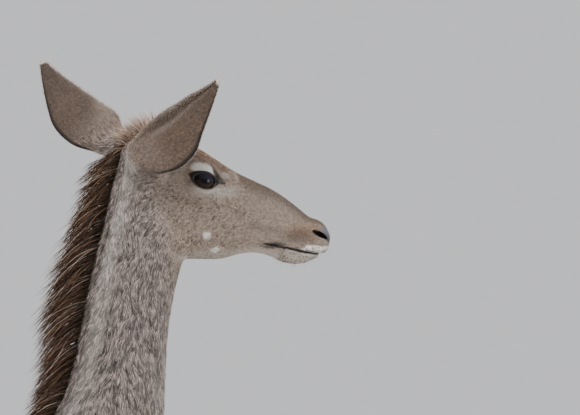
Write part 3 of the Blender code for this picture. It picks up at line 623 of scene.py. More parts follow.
def make_skin():
    """Trunk, neck, head, legs and tail as one closed surface, with all its openings."""
    pieces = [
        loft("trunk", moved(TRUNK, 0, WITHERS_HEIGHT)),
        loft("neck", NECK),
        loft("head", moved(HEAD, EYE_X, EYE_HEIGHT)),
        loft("tail", TAIL),
        *masses(BODY_MASSES, (0, 0)),
        *masses(HEAD_MASSES, (EYE_X, EYE_HEIGHT)),
    ]
    for _, sections, line, side, stride in LEGS:
        pieces.append(loft("leg", leg_sections(sections, line, stride), 4, side))
    for side in (-1, 1):
        pieces.append(ball("lids", eye_centre(side), [EYE_RADIUS + 0.0046] * 3))
    skin = joined("skin", pieces)
    remesh = skin.modifiers.new("one_surface", "REMESH")
    remesh.mode = "VOXEL"
    remesh.voxel_size = SKIN_VOXEL
    evaluated(skin)
    points = points_of(skin)
    tail = share(-points[:, 0], 0.700, 0.722)
    smoothed(skin, np.ones(len(points)), 9)
    smoothed(skin, (1 - share(past_poll(points), -0.03, 0.02)) * (1 - tail), 76)
    points = points_of(skin)
    thin_out(skin, (past_poll(points) < -0.12) & (stripes(points, 0.014) < 0.4), 112000)
    points = points_of(skin)
    set_points(skin, points - normals_of(skin) * coat_depth(points)[:, None])

    def about_eyes(p):
        return lid_reach(p)[0] < 2.6

    def muzzle(p):
        return (p[:, 0] > EYE_X + 0.105) & (past_poll(p) > 0)

    def lips(p):
        face = p - FACE
        at_mouth = np.abs(face[:, 2] - mouth_line(face[:, 0])[0]) < 0.0065
        at_nose = np.linalg.norm(np.abs(face) - np.abs(NOSTRIL), axis=1) < 0.021
        return (face[:, 0] > 0.106) & (at_mouth | at_nose)

    for region in (about_eyes, muzzle, lips):
        refine(skin, region)
    smoothed(skin, share(past_poll(points_of(skin)), 0.0, 0.03), 2)
    set_points(skin, shape_face(points_of(skin), normals_of(skin)))
    cutters = [ball("socket", eye_centre(side), [EYE_RADIUS + 0.0006] * 3, material_index=3)
               for side in (-1, 1)]
    combined(skin, cutters, "DIFFERENCE")
    combined(skin, [eye_opening(side) for side in (-1, 1)], "DIFFERENCE")
    combined(skin, [nostril(side) for side in (-1, 1)], "DIFFERENCE")
    combined(skin, [below_coronet(*leg[1:]) for leg in LEGS], "DIFFERENCE")
    points = points_of(skin)
    soften_about(skin, points[touching(skin, {4})], 0.0050, 3)
    combined(skin, [make_ear(*ear) for ear in EARS], "UNION")
    points = points_of(skin)
    soften_about(skin, points[touching(skin, {0}) & touching(skin, {1})], 0.0150, 14)
    return skin

MASKS = ("pale", "dark", "rust", "grey", "bare")
# Where the body's regions lie, for the lie of the coat and its unwrapping
HIP = np.array((-0.72, 0, 0.93))
CHEST = np.array((0.46, 0, 0.93))
NECK_FOOT, NECK_TOP = np.array((0.30, 0, 1.05)), np.array((0.535, 0, 1.76))
STRIPES = (0.175, 0.060, -0.045, -0.150, -0.255, -0.365, -0.480)


def ripple(points, size, seed, stretch=(1, 1, 1)):
    """A smooth random value, about -1 to 1, that changes over that size."""
    draw = np.random.default_rng(seed)
    total = np.zeros(len(points))
    for _ in range(7):
        way = unit(draw.normal(size=3)) / np.array(stretch)
        pace = math.tau / (size * draw.uniform(0.6, 1.5))
        total += np.sin(points @ way * pace + draw.uniform(0, math.tau))
    return total / 3


def spot(points, centre, radii, soft=0.5):
    """1 inside an ellipsoid that mirrors on both sides, fading out past its surface."""
    away = (points * (1, -1, 1) if centre[1] > 0 else points).copy()
    away[:, 1] = -np.abs(points[:, 1])
    centre = np.array((centre[0], -abs(centre[1]), centre[2]))
    out = np.linalg.norm((away - centre) / np.array(radii), axis=1)
    return 1 - share(out, 1 - soft, 1 + soft)


def flecks(points, size, seed):
    """A random value for each small cell of the coat, so that neighbouring tufts go together."""
    bent = points + 0.35 * size * np.stack([ripple(points, 4 * size, seed + k) for k in range(3)], 1)
    drawn = np.sin(np.floor(bent / size) @ np.array((12.9898, 78.233, 37.719)) + seed) * 43758.5453
    return (drawn % 1 - 0.5) * 3.46


def on_line(value, middle, width):
    return np.exp(-(((value - middle) / width) ** 2))


def stroke(x, z, start, end, width):
    """1 along a straight stroke on the side of the head, fading to its edges."""
    dx, dz = end[0] - start[0], end[1] - start[1]
    t = np.clip(((x - start[0]) * dx + (z - start[1]) * dz) / (dx * dx + dz * dz), 0, 1)
    return on_line(np.hypot(x - start[0] - t * dx, z - start[1] - t * dz), 0, width)


def stripes(points, width):
    """1 on the thin upright stripes of the flank, fading over that width."""
    height = points[:, 2]
    found = np.zeros(len(points))
    for i, at in enumerate(STRIPES):
        low = 0.80 + 0.05 * math.sin(2.3 * i)
        bent = points[:, 0] - at + 0.030 * (height - 1.0) + 0.006 * np.sin(9 * height + i)
        found = np.maximum(found, on_line(bent, 0, width) * share(height, low, low + 0.10))
    return found * (1 - share(height, 1.17, 1.20))


def ear_place(points, ear):
    """Along an ear: share of its length, how far round its curve, and whether it is near."""
    name, side, tip, opening, sway = ear
    root, axis, mouth, across = (np.array(v) for v in ear_frame(side, tip, opening))
    rows = list(ear_rows(side, tip, opening, sway, 2))
    at = [row[0] for row in rows]
    reach = (points - root) @ axis / EAR_LENGTH
    centre = np.stack([np.interp(reach, at, [r[1][k] for r in rows]) for k in range(3)], 1)
    radius, wrap = (np.interp(reach, at, [r[k] for r in rows]) for k in (2, 3))
    ray = points - centre
    ray -= (ray @ axis)[:, None] * axis
    span = np.arctan2(ray @ across, -(ray @ mouth)) / wrap
    near = (np.linalg.norm(ray, axis=1) < radius + 0.006) & (reach > -0.12) & (reach < 1.05)
    return reach, span, near, ray


def markings(points, normals):
    """How pale, dark, rust brown, grey or bare the coat is at each point; some marks are painted light and shade.
    """
    face = points - FACE
    x, y, z = face.T
    wide = np.abs(y)
    body_z = points[:, 2]
    head = share(past_poll(points), -0.04, 0.03)
    spread = ripple(points, 0.012, 5)
    line, ahead = mouth_line(x)
    off = z - line + 0.0010 * spread
    out, along, high = lid_reach(points)
    neck = (1 - head) * share(body_z, 1.05, 1.30)
    trunk = (1 - head) * (1 - share(body_z, 1.05, 1.30))
    leg = 1 - share(body_z, 0.50, 0.72)

    lip = share(off, 0.0005, 0.0025) * share(x, 0.176, 0.190)
    lip *= 1 - share(off, 0.012 * share(x, 0.172, 0.204), 0.016 * share(x, 0.170, 0.202) + 1e-4)
    chin = (1 - share(off, -0.003, 0.000)) * share(off, -0.045, -0.030) * share(x, 0.140, 0.165)
    pale = 1.0 * lip * head + 0.38 * chin * head
    arc = share(out, 1.22, 1.40) * (1 - share(out, 2.0, 2.5)) * share(high, 0.008, 0.013)
    arc *= share(along, -0.027, -0.017) * (1 - share(along, 0.009, 0.018))
    pale = np.maximum(pale, 1.0 * arc)
    under = share(out, 1.06, 1.22) * (1 - share(out, 1.4, 2.6)) * share(-high, 0.003, 0.010)
    pale = np.maximum(pale, 0.38 * under * share(along, -0.022, -0.004))
    pale = np.maximum(pale, 0.26 * spot(face, (0.032, -0.050, -0.022), (0.032, 0.03, 0.009), 0.8))
    pale = np.maximum(pale, 0.26 * spot(face, (0.047, -0.050, 0.005), (0.014, 0.03, 0.006), 0.5))
    for centre, size in (((0.005, -0.05, -0.093), 0.0062), ((0.026, -0.046, -0.119), 0.0072)):
        size = size * (1 + 0.30 * ripple(points, 0.010, 6))[:, None]
        pale = np.maximum(pale, 0.80 * spot(face, centre, size * (1.1, 4, 0.9), 0.45))
    chevron = on_line(z + 0.85 * wide + 0.012 - 0.55 * x, 0.0, 0.0065) * share(z, -0.02, 0.0)
    chevron *= (1 - share(wide, 0.030, 0.042)) * share(x, 0.01, 0.03) * (0.7 + 0.3 * spread)
    pale = np.maximum(pale, 0.30 * chevron * head)
    pale = np.maximum(pale, 0.30 * head * (1 - share(-normals[:, 2], 0.8, 0.3)) * share(-z, 0.10, 0.13))
    fold = stroke(x, z, (-0.139, 0.045), (-0.139, 0.012), 0.0028)
    fold = np.maximum(fold, stroke(x, z, (-0.139, 0.012), (-0.128, -0.014), 0.0028))
    pale = np.maximum(pale, 0.62 * fold * share(wide, 0.030, 0.040))
    # A pale strip at the back of the neck beside the mane, strongest where the neck faces away from the lamps: pale
    # hair with painted light
    nape = share(-normals[:, 0], 0.42, 0.70) * share(wide, 0.016, 0.026) * neck
    pale = np.maximum(pale, 0.42 * nape)
    throat = share(normals[:, 0], 0.4, 0.9) * neck
    pale = np.maximum(pale, 0.22 * throat)
    pale = np.maximum(pale, 0.95 * trunk * stripes(points, 0.0066 + 0.0008 * spread))
    belly = share(-normals[:, 2], 0.35, 0.9) * trunk * (1 - leg)
    pale = np.maximum(pale, 0.35 * belly)
    inner = share(-np.sign(points[:, 1]) * normals[:, 1], 0.2, 0.8)
    pale = np.maximum(pale, 0.42 * inner * (1 - share(body_z, 0.60, 0.85)) * share(body_z, 0.16, 0.3))
    pastern = on_line(body_z, 0.085, 0.018) * share(normals[:, 0], -0.1, 0.6)
    pale = np.maximum(pale, 0.45 * pastern)
    tail = share(-points[:, 0], 0.700, 0.722) * share(body_z, 0.70, 0.74)
    pale = np.maximum(pale * (1 - tail), 0.85 * tail * share(normals[:, 0], -0.1, 0.5))

    lid = 1.12 + 0.16 * share(high, -0.002, 0.004)
    dark = 1.0 * (1 - share(out / lid, 0.96, 1.06))
    corner = stroke(x, z, (0.014, -0.003), (0.038, -0.0075), 0.0026)
    brow = stroke(x, z, (0.014, 0.016), (0.033, -0.003), 0.0040)
    front = spot(face, (0.0215, -0.05, 0.001), (0.008, 0.03, 0.009), 0.35)
    eye_side = (out < 8) * (1 - arc)
    dark = np.maximum(dark, eye_side * np.maximum(corner, np.maximum(0.85 * brow, 0.95 * front)))
    dark = np.maximum(dark, 0.30 * stroke(x, z, (0.035, 0.018), (0.060, 0.001), 0.0030) * head)
    # The mouth line and its corner: dark lip skin, with painted shade in the gap between the lips
    mouth = on_line(off, 0.0, 0.0026) * share(x, 0.108, 0.122) * head
    corner = spot(face, (0.135, -0.033, -0.1155), (0.020, 0.02, 0.0058), 0.6)
    dark = np.maximum(dark, np.maximum(0.95 * mouth, 0.92 * corner))
    bridge = share(x, 0.05, 0.10) * share(normals[:, 2], 0.15, 0.60)
    dark = np.maximum(dark, 0.50 * bridge * head * (1 - share(x, 0.215, 0.235)))
    dark = np.maximum(dark, 0.52 * spot(face, (0.180, -0.030, -0.101), (0.030, 0.03, 0.012), 0.8))
    # Painted shade along a crease of the cheek
    dark = np.maximum(dark, 0.30 * stroke(x, z, (0.088, -0.081), (0.146, -0.092), 0.0060) * head)
    garter = on_line(body_z, 0.455, 0.045) * share(normals[:, 0], 0.1, 0.7) * (points[:, 0] > 0)
    dark = np.maximum(dark, 0.55 * garter * leg)
    dark = np.maximum(dark, 0.60 * on_line(body_z, 0.060, 0.012) * leg)
    dark = np.maximum(dark, 0.90 * share(-points[:, 0], 0.70, 0.72) * (1 - share(body_z, 0.80, 0.86)) * share(body_z, 0.68, 0.72))
    spine = (1 - share(np.abs(points[:, 1]), 0.006, 0.02)) * share(normals[:, 2], 0.5, 0.9) * trunk
    dark = np.maximum(dark, 0.45 * spine)

    # A paler line along the top of the forehead: painted rim light
    ridge = share(normals[:, 2], 0.90, 0.98) * share(x, -0.06, -0.02) * (1 - share(x, 0.07, 0.12))
    pale = np.maximum(pale, 0.35 * ridge * head)
    top = share(normals[:, 2], 0.25, 0.85) * head
    rust = 0.50 * top * (1 - share(x, 0.06, 0.14)) + 0.20 * top * share(x, 0.06, 0.14)
    rust = np.maximum(rust, 0.40 * spot(face, (0.190, -0.03, -0.094), (0.034, 0.03, 0.014), 0.6))
    rust = np.maximum(rust, 0.25 * spot(face, (0.047, -0.050, 0.003), (0.016, 0.03, 0.010), 0.5))
    rust = np.maximum(rust, 0.55 * leg * share(body_z, 0.08, 0.2))
    rust = np.maximum(rust, 0.20 * trunk)
    grey = 0.80 * neck + 0.30 * share(-x, 0.02, 0.12) * head * (1 - top)

    slit = -0.0937 - 0.542 * (x - 0.2023)
    above = share(x - z, 0.307, 0.313) * share(z - slit, -0.004, -0.001) * share(x, 0.205, 0.212)
    front = share(x, 0.2395, 0.2425) * share(z, -0.122, -0.117)
    bare = np.maximum(above, front) * head
    slot = stroke(x, z, (0.222, -0.1015), (0.243, -0.1165), 0.0050) * share(x, 0.219, 0.224)
    # On the bare nose the top stays grey, a painted reflection of the light above on dark skin, while the front and
    # the nostril slot go dark
    dark = np.where(bare > 0.3, np.maximum(0.75 * front * (1 - above), slot), dark)
    bare = np.maximum(bare, share(slot, 0.4, 0.6) * head)
    lids = 1 - share(out, 1.00, 1.07)
    lips = on_line(off, 0, 0.0014) * share(x, 0.110, 0.124) * head
    dark = np.maximum(dark, np.maximum(lids, lips))
    bare = np.maximum(bare, np.maximum(lids, lips))

    for ear in EARS:
        reach, across, near, ray = ear_place(points, ear)
        inside = dot(unit(ray), normals) < 0
        here = near & (reach > 0.03)
        fade = share(reach, 0.02, 0.16) * here
        lateral = across * ear[1]
        rim = share(np.abs(across), 0.84, 0.93)
        fold = -0.02 if ear[1] < 0 else -0.52
        # Darker and warmer beyond the fold, where the ear's back curves away from the light: painted shade
        painted_shade_band = share(fold - lateral, -0.02, 0.16) * share(reach, 0.05, 0.3)
        pale_line = on_line(lateral, fold + 0.06, 0.06) * share(reach, 0.25, 0.4)
        tip = share(reach, 0.965, 0.99)
        low = 1 - share(reach, 0.08, 0.45)
        foot = 1 - share(reach, 0.06, 0.16)
        edge = (0.93 * share(lateral, 0.88, 0.94) + 0.35 * rim) * (1 - foot)
        back = here & ~inside
        on_back = 0.12 * low + 0.22 * pale_line + 0.8 * tip + 0.6 * foot * share(lateral, 0.80, 0.90)
        pale = np.where(back, pale * (1 - fade) + fade * on_back, pale)
        on_back = (0.64 + 0.26 * painted_shade_band + 0.08 * share(reach, 0.5, 0.9)) * (1 - 0.36 * low)
        on_back = np.maximum(on_back, np.minimum(edge, 0.95)) * (1 - tip)
        dark = np.where(back, dark * (1 - fade) + fade * on_back, dark)
        rust = np.where(back, rust * (1 - fade) + fade * (0.38 + 0.20 * painted_shade_band), rust)
        grey = np.where(back, grey * (1 - fade) + fade * 0.55 * low, grey)
        cup = here & inside
        pale = np.where(cup, 0.75 - 0.45 * share(reach, 0.5, 0.95), pale)
        dark = np.where(cup, 0.30 * rim, dark)
        rust = np.where(cup, 0.35, rust)
        grey = np.where(cup, 0.0, grey)
        bare = np.where(here, 0, bare)
    pale = pale * (1 - 0.9 * bare)
    found = np.stack([pale, dark, rust, grey, bare], 1)
    return np.clip(found, 0, 1)


def flow(points, normals):
    """The way the hair lies, along the skin."""
    face = points - FACE
    x, z = face[:, 0], face[:, 2]
    side = np.sign(points[:, 1] + 1e-9)
    head = share(past_poll(points), -0.06, 0.03)
    count = len(points)

    def way(a, b, c):
        return np.stack([np.full(count, float(a)), side * b, np.full(count, float(c))], 1)

    low = share(-z, 0.00, 0.09)
    jaw = share(-x, -0.02, 0.07) * share(-z, 0.02, 0.09)
    crown = share(normals[:, 2], 0.2, 0.8) * share(-x, -0.05, 0.03)
    on_head = way(-1, 0.15, 0) + way(0, 0, -0.60) * low[:, None]
    on_head += way(0.55, 0, -1.1) * jaw[:, None] + way(0, 0.25, 0.5) * crown[:, None]
    body_z = points[:, 2]
    lower = 1 - share(body_z, 1.15, 1.45)
    on_neck = way(-0.12, 0, -1) + way(-0.45, 0, 0.15) * lower[:, None]
    on_trunk = way(-1, 0.12, -0.35) + way(0.35, 0, -0.35) * share(np.abs(normals[:, 1]), 0.3, 0.9)[:, None]
    breast = share(points[:, 0], 0.24, 0.40)[:, None]
    on_trunk = on_trunk * (1 - breast) + way(-0.2, 0, -1) * breast
    trunk = (1 - share(body_z, 1.05, 1.28) * share(points[:, 0], 0.02, 0.20))[:, None]
    leg = np.maximum(1 - share(body_z, 0.62, 0.86), share(-points[:, 0], 0.700, 0.722))[:, None]
    on_body = on_neck * (1 - trunk) + on_trunk * trunk
    on_body = on_body * (1 - leg) + way(-0.1, 0, -1) * leg
    lie = on_head * head[:, None] + on_body * (1 - head[:, None])
    for ear in EARS:
        reach, across, near, ray = ear_place(points, ear)
        root, axis, mouth, side_way = (np.array(v) for v in ear_frame(*ear[1:4]))
        fade = (share(reach, -0.02, 0.12) * near)[:, None]
        lie = lie * (1 - fade) + fade * (axis + side_way * (0.55 * across)[:, None])
    lie = unit(lie - normals * dot(lie, normals)[:, None])
    swirl = 0.30 * ripple(points, 0.060, 11) + 0.22 * ripple(points, 0.022, 12)
    swirl = swirl * (0.45 + 0.55 * (1 - head))
    return unit(lie * np.cos(swirl)[:, None] + np.cross(normals, lie) * np.sin(swirl)[:, None])


def scatter(obj, kinds, amount, thickly, draw):
    """Roots spread over the faces of these kinds, by area times how thickly hair grows."""
    obj.data.calc_loop_triangles()
    corners = read(obj.data.loop_triangles, "vertices", 3, np.int32)
    owner = read(obj.data.loop_triangles, "polygon_index", 1, np.int32)
    kind = read(obj.data.polygons, "material_index", 1, np.int32)[owner]
    corners = corners[np.isin(kind, kinds)]
    points, normals = points_of(obj), normals_of(obj)
    a, b, c = (points[corners[:, k]] for k in range(3))
    middle = (a + b + c) / 3
    flat = np.cross(b - a, c - a)
    area = 0.5 * np.linalg.norm(flat, axis=1)
    expected = np.cumsum(area * thickly(middle, unit(flat)))
    at = (np.arange(amount) + draw.random(amount)) * expected[-1] / amount
    chosen = np.minimum(np.searchsorted(expected, at), len(corners) - 1)
    u, v = draw.random(amount), draw.random(amount)
    over = u + v > 1
    u[over], v[over] = 1 - u[over], 1 - v[over]
    weights = np.stack([1 - u - v, u, v], 1)
    picked = corners[chosen]
    root = np.einsum("nk,nkd->nd", weights, points[picked])
    normal = unit(np.einsum("nk,nkd->nd", weights, normals[picked]))
    return root, normal


def unwrap(points, start, end, top, halves=1):
    """Round and along the line from start to end, each 0 to 1."""
    axis = unit(end - start)
    up = unit(top - axis * dot(top, axis))
    aside = np.cross(axis, up)
    away = points - start
    along = away @ axis / np.linalg.norm(end - start)
    turn = np.arctan2(away @ aside, away @ up) / math.tau
    turn = np.abs(turn) * 2 if halves == 2 else turn + 0.5
    return np.stack([0.02 + 0.96 * np.clip(turn, 0, 1), 0.02 + 0.96 * np.clip(along, 0, 1)], 1)


def hairs(name, root, out, lie, normal, length, width, steps, chart, masks, tone, sink=0.0008):
    """Closed tapered tufts with a ridge along them, that leave along out and bend over to lie.

    A tuft of one step is straight. Each carries its root's markings and its own tone."""
    count = len(root)
    place = root - normal * sink
    pace = ((length + sink) / steps)[:, None]
    layers = []
    for i in range(steps):
        t = i / steps
        bend = min(1.0, 1.3 * t)
        way = unit(out * (1 - bend) + lie * bend)
        flat = unit(np.cross(normal, way))
        over = np.cross(way, flat)
        wide = (0.5 * width * (0.75 + 0.9 * t) * (1 - t) ** 0.7)[:, None]
        layers += [place + flat * wide, place + over * wide * 0.55, place - flat * wide]
        place = place + way * pace
    layers.append(place)
    size = 3 * steps + 1
    points = np.stack(layers, 1).reshape(-1, 3)
    faces = [(0, 2, 1)]
    for i in range(steps - 1):
        for j in range(3):
            a, b = 3 * i + j, 3 * i + (j + 1) % 3
            faces += [(a, b, b + 3), (a, b + 3, a + 3)]
    last = 3 * steps - 3
    faces += [(last + j, last + (j + 1) % 3, last + 3) for j in range(3)]
    corners = (np.array(faces)[None] + size * np.arange(count)[:, None, None]).reshape(-1)
    mesh = bpy.data.meshes.new(name)
    mesh.vertices.add(len(points))
    mesh.vertices.foreach_set("co", placed(points).astype(np.float32).ravel())
    mesh.loops.add(len(corners))
    mesh.loops.foreach_set("vertex_index", corners.astype(np.int32))
    mesh.polygons.add(len(corners) // 3)
    mesh.polygons.foreach_set("loop_start", np.arange(0, len(corners), 3, dtype=np.int32))
    mesh.update(calc_edges=True)
    tip = np.array([i / steps for i in range(steps) for _ in range(3)] + [1.0])
    for key, values in zip(MASKS, masks.T):
        store(mesh, key, np.repeat(values, size))
    store(mesh, "tone", np.repeat(tone, size))
    store(mesh, "tip", np.tile(tip, count))
    spread = np.array([(k % 3) / 2 - 0.5 for k in range(size - 1)] + [0.0])
    patch = 0.003 * np.stack([spread, tip - 0.5], 1)
    charted = (chart[:, None, :] + patch[None]).reshape(-1, 2)
    layer = mesh.uv_layers.new(name="OFBake")
    layer.data.foreach_set("uv", charted[corners].astype(np.float32).ravel())
    return linked(name, mesh)


def store(mesh, name, values):
    field = mesh.attributes.new(name, "FLOAT", "POINT")
    field.data.foreach_set("value", np.asarray(values, np.float32))


def placed(points):
    """Points of the straight animal, in their place in the frame."""
    return turned(points) - SHIFT


def coat_sizes(points, kinds_inside):
    """Length and width of the tufts that grow at each point."""
    face = points - FACE
    head = share(past_poll(points), -0.06, 0.02)
    muzzle = share(face[:, 0], 0.02, 0.17)
    eye = 1 - share(lid_reach(points)[0], 1.3, 2.6)
    leg = 1 - share(points[:, 2], 0.42, 0.75)
    low_leg = 1 - share(points[:, 2], 0.12, 0.30)
    on_head = 0.0060 - 0.0028 * np.maximum(muzzle, eye)
    on_body = 0.0175 - 0.0070 * leg - 0.0020 * low_leg
    length = on_body + (on_head - on_body) * head
    width = 0.0027 - 0.0009 * leg
    width = width + (0.00130 - 0.00030 * np.maximum(muzzle, eye) - width) * head
    neck = share(points[:, 2], 1.05, 1.25) * (1 - head)
    width -= 0.0011 * neck
    length = length - 0.0035 * neck
    for ear in EARS:
        reach, across, near, ray = ear_place(points, ear)
        on_ear = near * share(reach, 0.05, 0.25)
        short = 0.0052 - 0.0016 * share(np.abs(across), 0.80, 0.95)
        length = length + (short - length) * on_ear
        width = width + (0.0010 - width) * on_ear
    return length, width


def tuft_tones(points, draw, strength=1.0):
    """Light and dark tufts, in streaks and flecks as in a real coat."""
    streaks = ripple(points, 0.006, 21, (1, 1, 2.2))
    patches = ripple(points, 0.045, 22)
    neck = share(points[:, 2], 1.05, 1.25) * (1 - share(past_poll(points), -0.06, 0.02))
    body = 1 - np.maximum(neck, share(past_poll(points), -0.06, 0.02))
    clumps = flecks(points, 0.0032, 23) * (1.45 - 0.10 * neck - 0.90 * body)
    own = 0.40 * draw.normal(size=len(points))
    return strength * (own + clumps + 0.20 * streaks + 0.16 * patches - 0.15).clip(-2.6, 1.4)


def coat_piece(name, skin, kinds, amount, where, chart, draw, lift=0.16):
    """One piece of the short coat: its roots, its lie and its tufts."""

    def thickly(middle, normals):
        length, width = coat_sizes(middle, None)
        bare = markings(middle, normals)[:, 4]
        return where(middle, normals) * (1 - share(bare, 0.3, 0.7)) / (length * width)

    root, normal = scatter(skin, kinds, amount, thickly, draw)
    masks = markings(root, normal)
    keep = masks[:, 4] < 0.5
    root, normal, masks = root[keep], normal[keep], masks[keep]
    lie = flow(root, normal)
    count = len(root)
    turn = draw.normal(size=count) * 0.16
    aside = np.cross(normal, lie)
    lie = unit(lie * np.cos(turn)[:, None] + aside * np.sin(turn)[:, None])
    length, width = coat_sizes(root, None)
    length = length * draw.uniform(0.75, 1.25, count)
    masks = markings(root + lie * (0.5 * length)[:, None], normal)
    rise = (lift + 0.10 * draw.random(count))[:, None]
    out = unit(lie + normal * rise)
    tone = tuft_tones(root, draw)
    fleck = draw.random(count)
    masks[:, 4] = 0
    masks[:, 1] = np.maximum(masks[:, 1], 0.70 * (fleck < 0.07) * (masks[:, 0] < 0.6))
    masks[:, 0] = np.maximum(masks[:, 0], 0.30 * (fleck > 0.91))
    piece = hairs(name, root, out, out, normal, length, width, 1, chart(root, normal), masks, tone)
    return coat_finish(piece)


def coat_finish(piece):
    piece.data.materials.append(FINISH["coat"])
    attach(piece, "root")
    return piece


def head_chart(points, normals):
    return unwrap(points, FACE + (-0.14, 0, -0.02), FACE + (0.26, 0, -0.11), np.array((0, 0, 1)), 2)


def neck_chart(points, normals):
    return unwrap(points, NECK_FOOT, NECK_TOP, np.array((-1, 0, 0.4)), 2)


def trunk_chart(points, normals):
    return unwrap(points, HIP, CHEST, np.array((0, 0, 1)), 2)


def leg_chart(points, normals):
    """The four legs side by side."""
    found = np.zeros((len(points), 2))
    for i, (_, sections, line, side, stride) in enumerate(LEGS):
        front = (points[:, 0] > -0.18) == (line > 0)
        mine = front & (np.sign(points[:, 1]) == side)
        low = np.array((line + stride + 0.02, side * 0.102, 0.0))
        high = np.array((line, side * 0.115, 0.75))
        own = unwrap(points, low, high, np.array((1, 0, 0)))
        own[:, 0] = (own[:, 0] + i) / 4
        found[mine] = own[mine]
    return found


def ear_chart(ear):
    """The back of the ear beside its inside."""

    def chart(points, normals):
        reach, span, near, ray = ear_place(points, ear)
        inside = dot(unit(ray), normals) < 0
        across = np.clip(0.25 + 0.22 * span, 0.01, 0.49) + 0.5 * inside
        return np.stack([across, 0.03 + 0.90 * np.clip((reach + 0.1) / 1.1, 0, 1)], 1)

    return chart


def make_coat(skin):
    draw = np.random.default_rng(3)
    sides = (("right", -1), ("left", 1))
    shoulder = np.array((0.335, 0, 1.065))
    slope = np.array((math.cos(math.radians(51)), 0, math.sin(math.radians(51))))

    def on_neck(p):
        return (past_poll(p) <= 0) & ((p - shoulder) @ slope > 0)

    def on_leg(p):
        return (p[:, 2] < 0.66) & (p[:, 0] > -0.71)

    for word, side in sides:
        def own(p, side=side):
            return np.sign(p[:, 1] + 1e-9) == side

        coat_piece(f"coat_head_{word}", skin, (0,), 43000,
                   lambda p, n: (past_poll(p) > 0) & own(p), head_chart, draw)
        coat_piece(f"coat_neck_{word}", skin, (0,), 38000,
                   lambda p, n: on_neck(p) & own(p), neck_chart, draw, 0.20)
        coat_piece(f"coat_trunk_{word}", skin, (0,), 30000,
                   lambda p, n: ~on_neck(p) & ~on_leg(p) & (past_poll(p) <= 0) & own(p)
                   & (p[:, 0] > -0.712), trunk_chart, draw, 0.14)
    coat_piece("coat_legs", skin, (0,), 28000, lambda p, n: on_leg(p), leg_chart, draw, 0.14)
    for ear in EARS:
        coat_piece(f"coat_{ear[0]}", skin, (1,), 24000, lambda p, n: np.ones(len(p)),
                   ear_chart(ear), draw, 0.16)


def crest_line(sections, column, reverse=False):
    line = between(sections, 12)[:, [column, column + 1]]
    if reverse:
        line = line[::-1]
    run = np.concatenate([[0], np.cumsum(np.hypot(*np.diff(line, axis=0).T))])
    return line, run


def crest_hairs(sections, amount, draw, reverse=True):
    """Places along the upper line of a table: share of the way, root, the way on, and up."""
    line, run = crest_line(sections, 0, reverse)
    where = (np.arange(amount) + draw.random(amount)) / amount
    at = where * run[-1]
    x, z = (np.interp(at, run, line[:, k]) for k in (0, 1))
    ahead = [np.interp(at + 0.01, run, line[:, k]) for k in (0, 1)]
    behind = [np.interp(at - 0.01, run, line[:, k]) for k in (0, 1)]
    along = unit(np.stack([ahead[0] - behind[0], np.zeros(amount), ahead[1] - behind[1]], 1))
    up = np.stack([-along[:, 2], np.zeros(amount), along[:, 0]], 1)
    up *= np.where((up[:, 2] < 0) & (np.abs(up[:, 0]) < np.abs(up[:, 2])) | (up[:, 0] > 0), -1, 1)[:, None]
    return where, np.stack([x, np.zeros(amount), z], 1), along, up


def mixed(count, **values):
    """Markings given outright: one column a mask."""
    found = np.zeros((count, len(MASKS)))
    for key, value in values.items():
        found[:, MASKS.index(key)] = value
    return found


def make_mane(draw):
    """Long hair down the nape, dark at the roots and rusty at the tips."""
    amount = 4200
    where, root, along, up = crest_hairs([s for s in NECK[2:]], amount, draw)
    aside = draw.normal(size=amount) * 0.5
    y = np.array((0, 1.0, 0))
    root = root + y * (0.0042 * aside)[:, None] - up * (0.002 + 0.002 * np.abs(aside))[:, None]
    full = np.sin(math.pi * np.minimum(1, 0.20 + 0.8 * where)) ** 2
    length = (0.038 + 0.066 * full) * draw.uniform(0.60, 1.10, amount)
    length *= share(where, -0.02, 0.05) * (1 - 0.5 * share(where, 0.88, 1.0))
    clump = ripple(root, 0.020, 31)
    lift = 0.74 + 0.09 * draw.normal(size=amount) + 0.04 * clump
    lean = (0.09 * aside + 0.04 * ripple(root, 0.035, 32))[:, None] * y

    def toward(angle):
        return along * np.cos(angle)[:, None] + up * np.sin(angle)[:, None] + lean

    out, lie = toward(lift + 0.26), toward(lift - 0.32)
    tone = 0.55 * draw.normal(size=amount) + 0.35 * clump - 0.1
    golden = draw.random(amount) < 0.14
    length = np.where(golden, 1.12 * length, length)
    lift = np.where(golden, lift + 0.06, lift)
    tone = np.where(golden, 0.5, tone)
    masks = mixed(amount, dark=np.where(golden, 0.0, 0.88 - 0.16 * np.abs(aside)),
                  rust=np.where(golden, 0.55, 0.72), pale=0.35 * golden)
    chart = np.stack([0.5 + 0.2 * aside, 0.02 + 0.96 * where], 1)
    normal = np.cross(along, y)
    normal *= np.sign(dot(normal, up))[:, None]
    width = np.where(golden, 0.0013, 0.0026 * draw.uniform(0.7, 1.3, amount))
    piece = hairs("mane", root, unit(out), unit(lie), unit(up + 0.2 * lean), length, width, 4,
                  np.clip(chart, 0.01, 0.99), masks, tone, 0.004)
    coat_finish(piece)


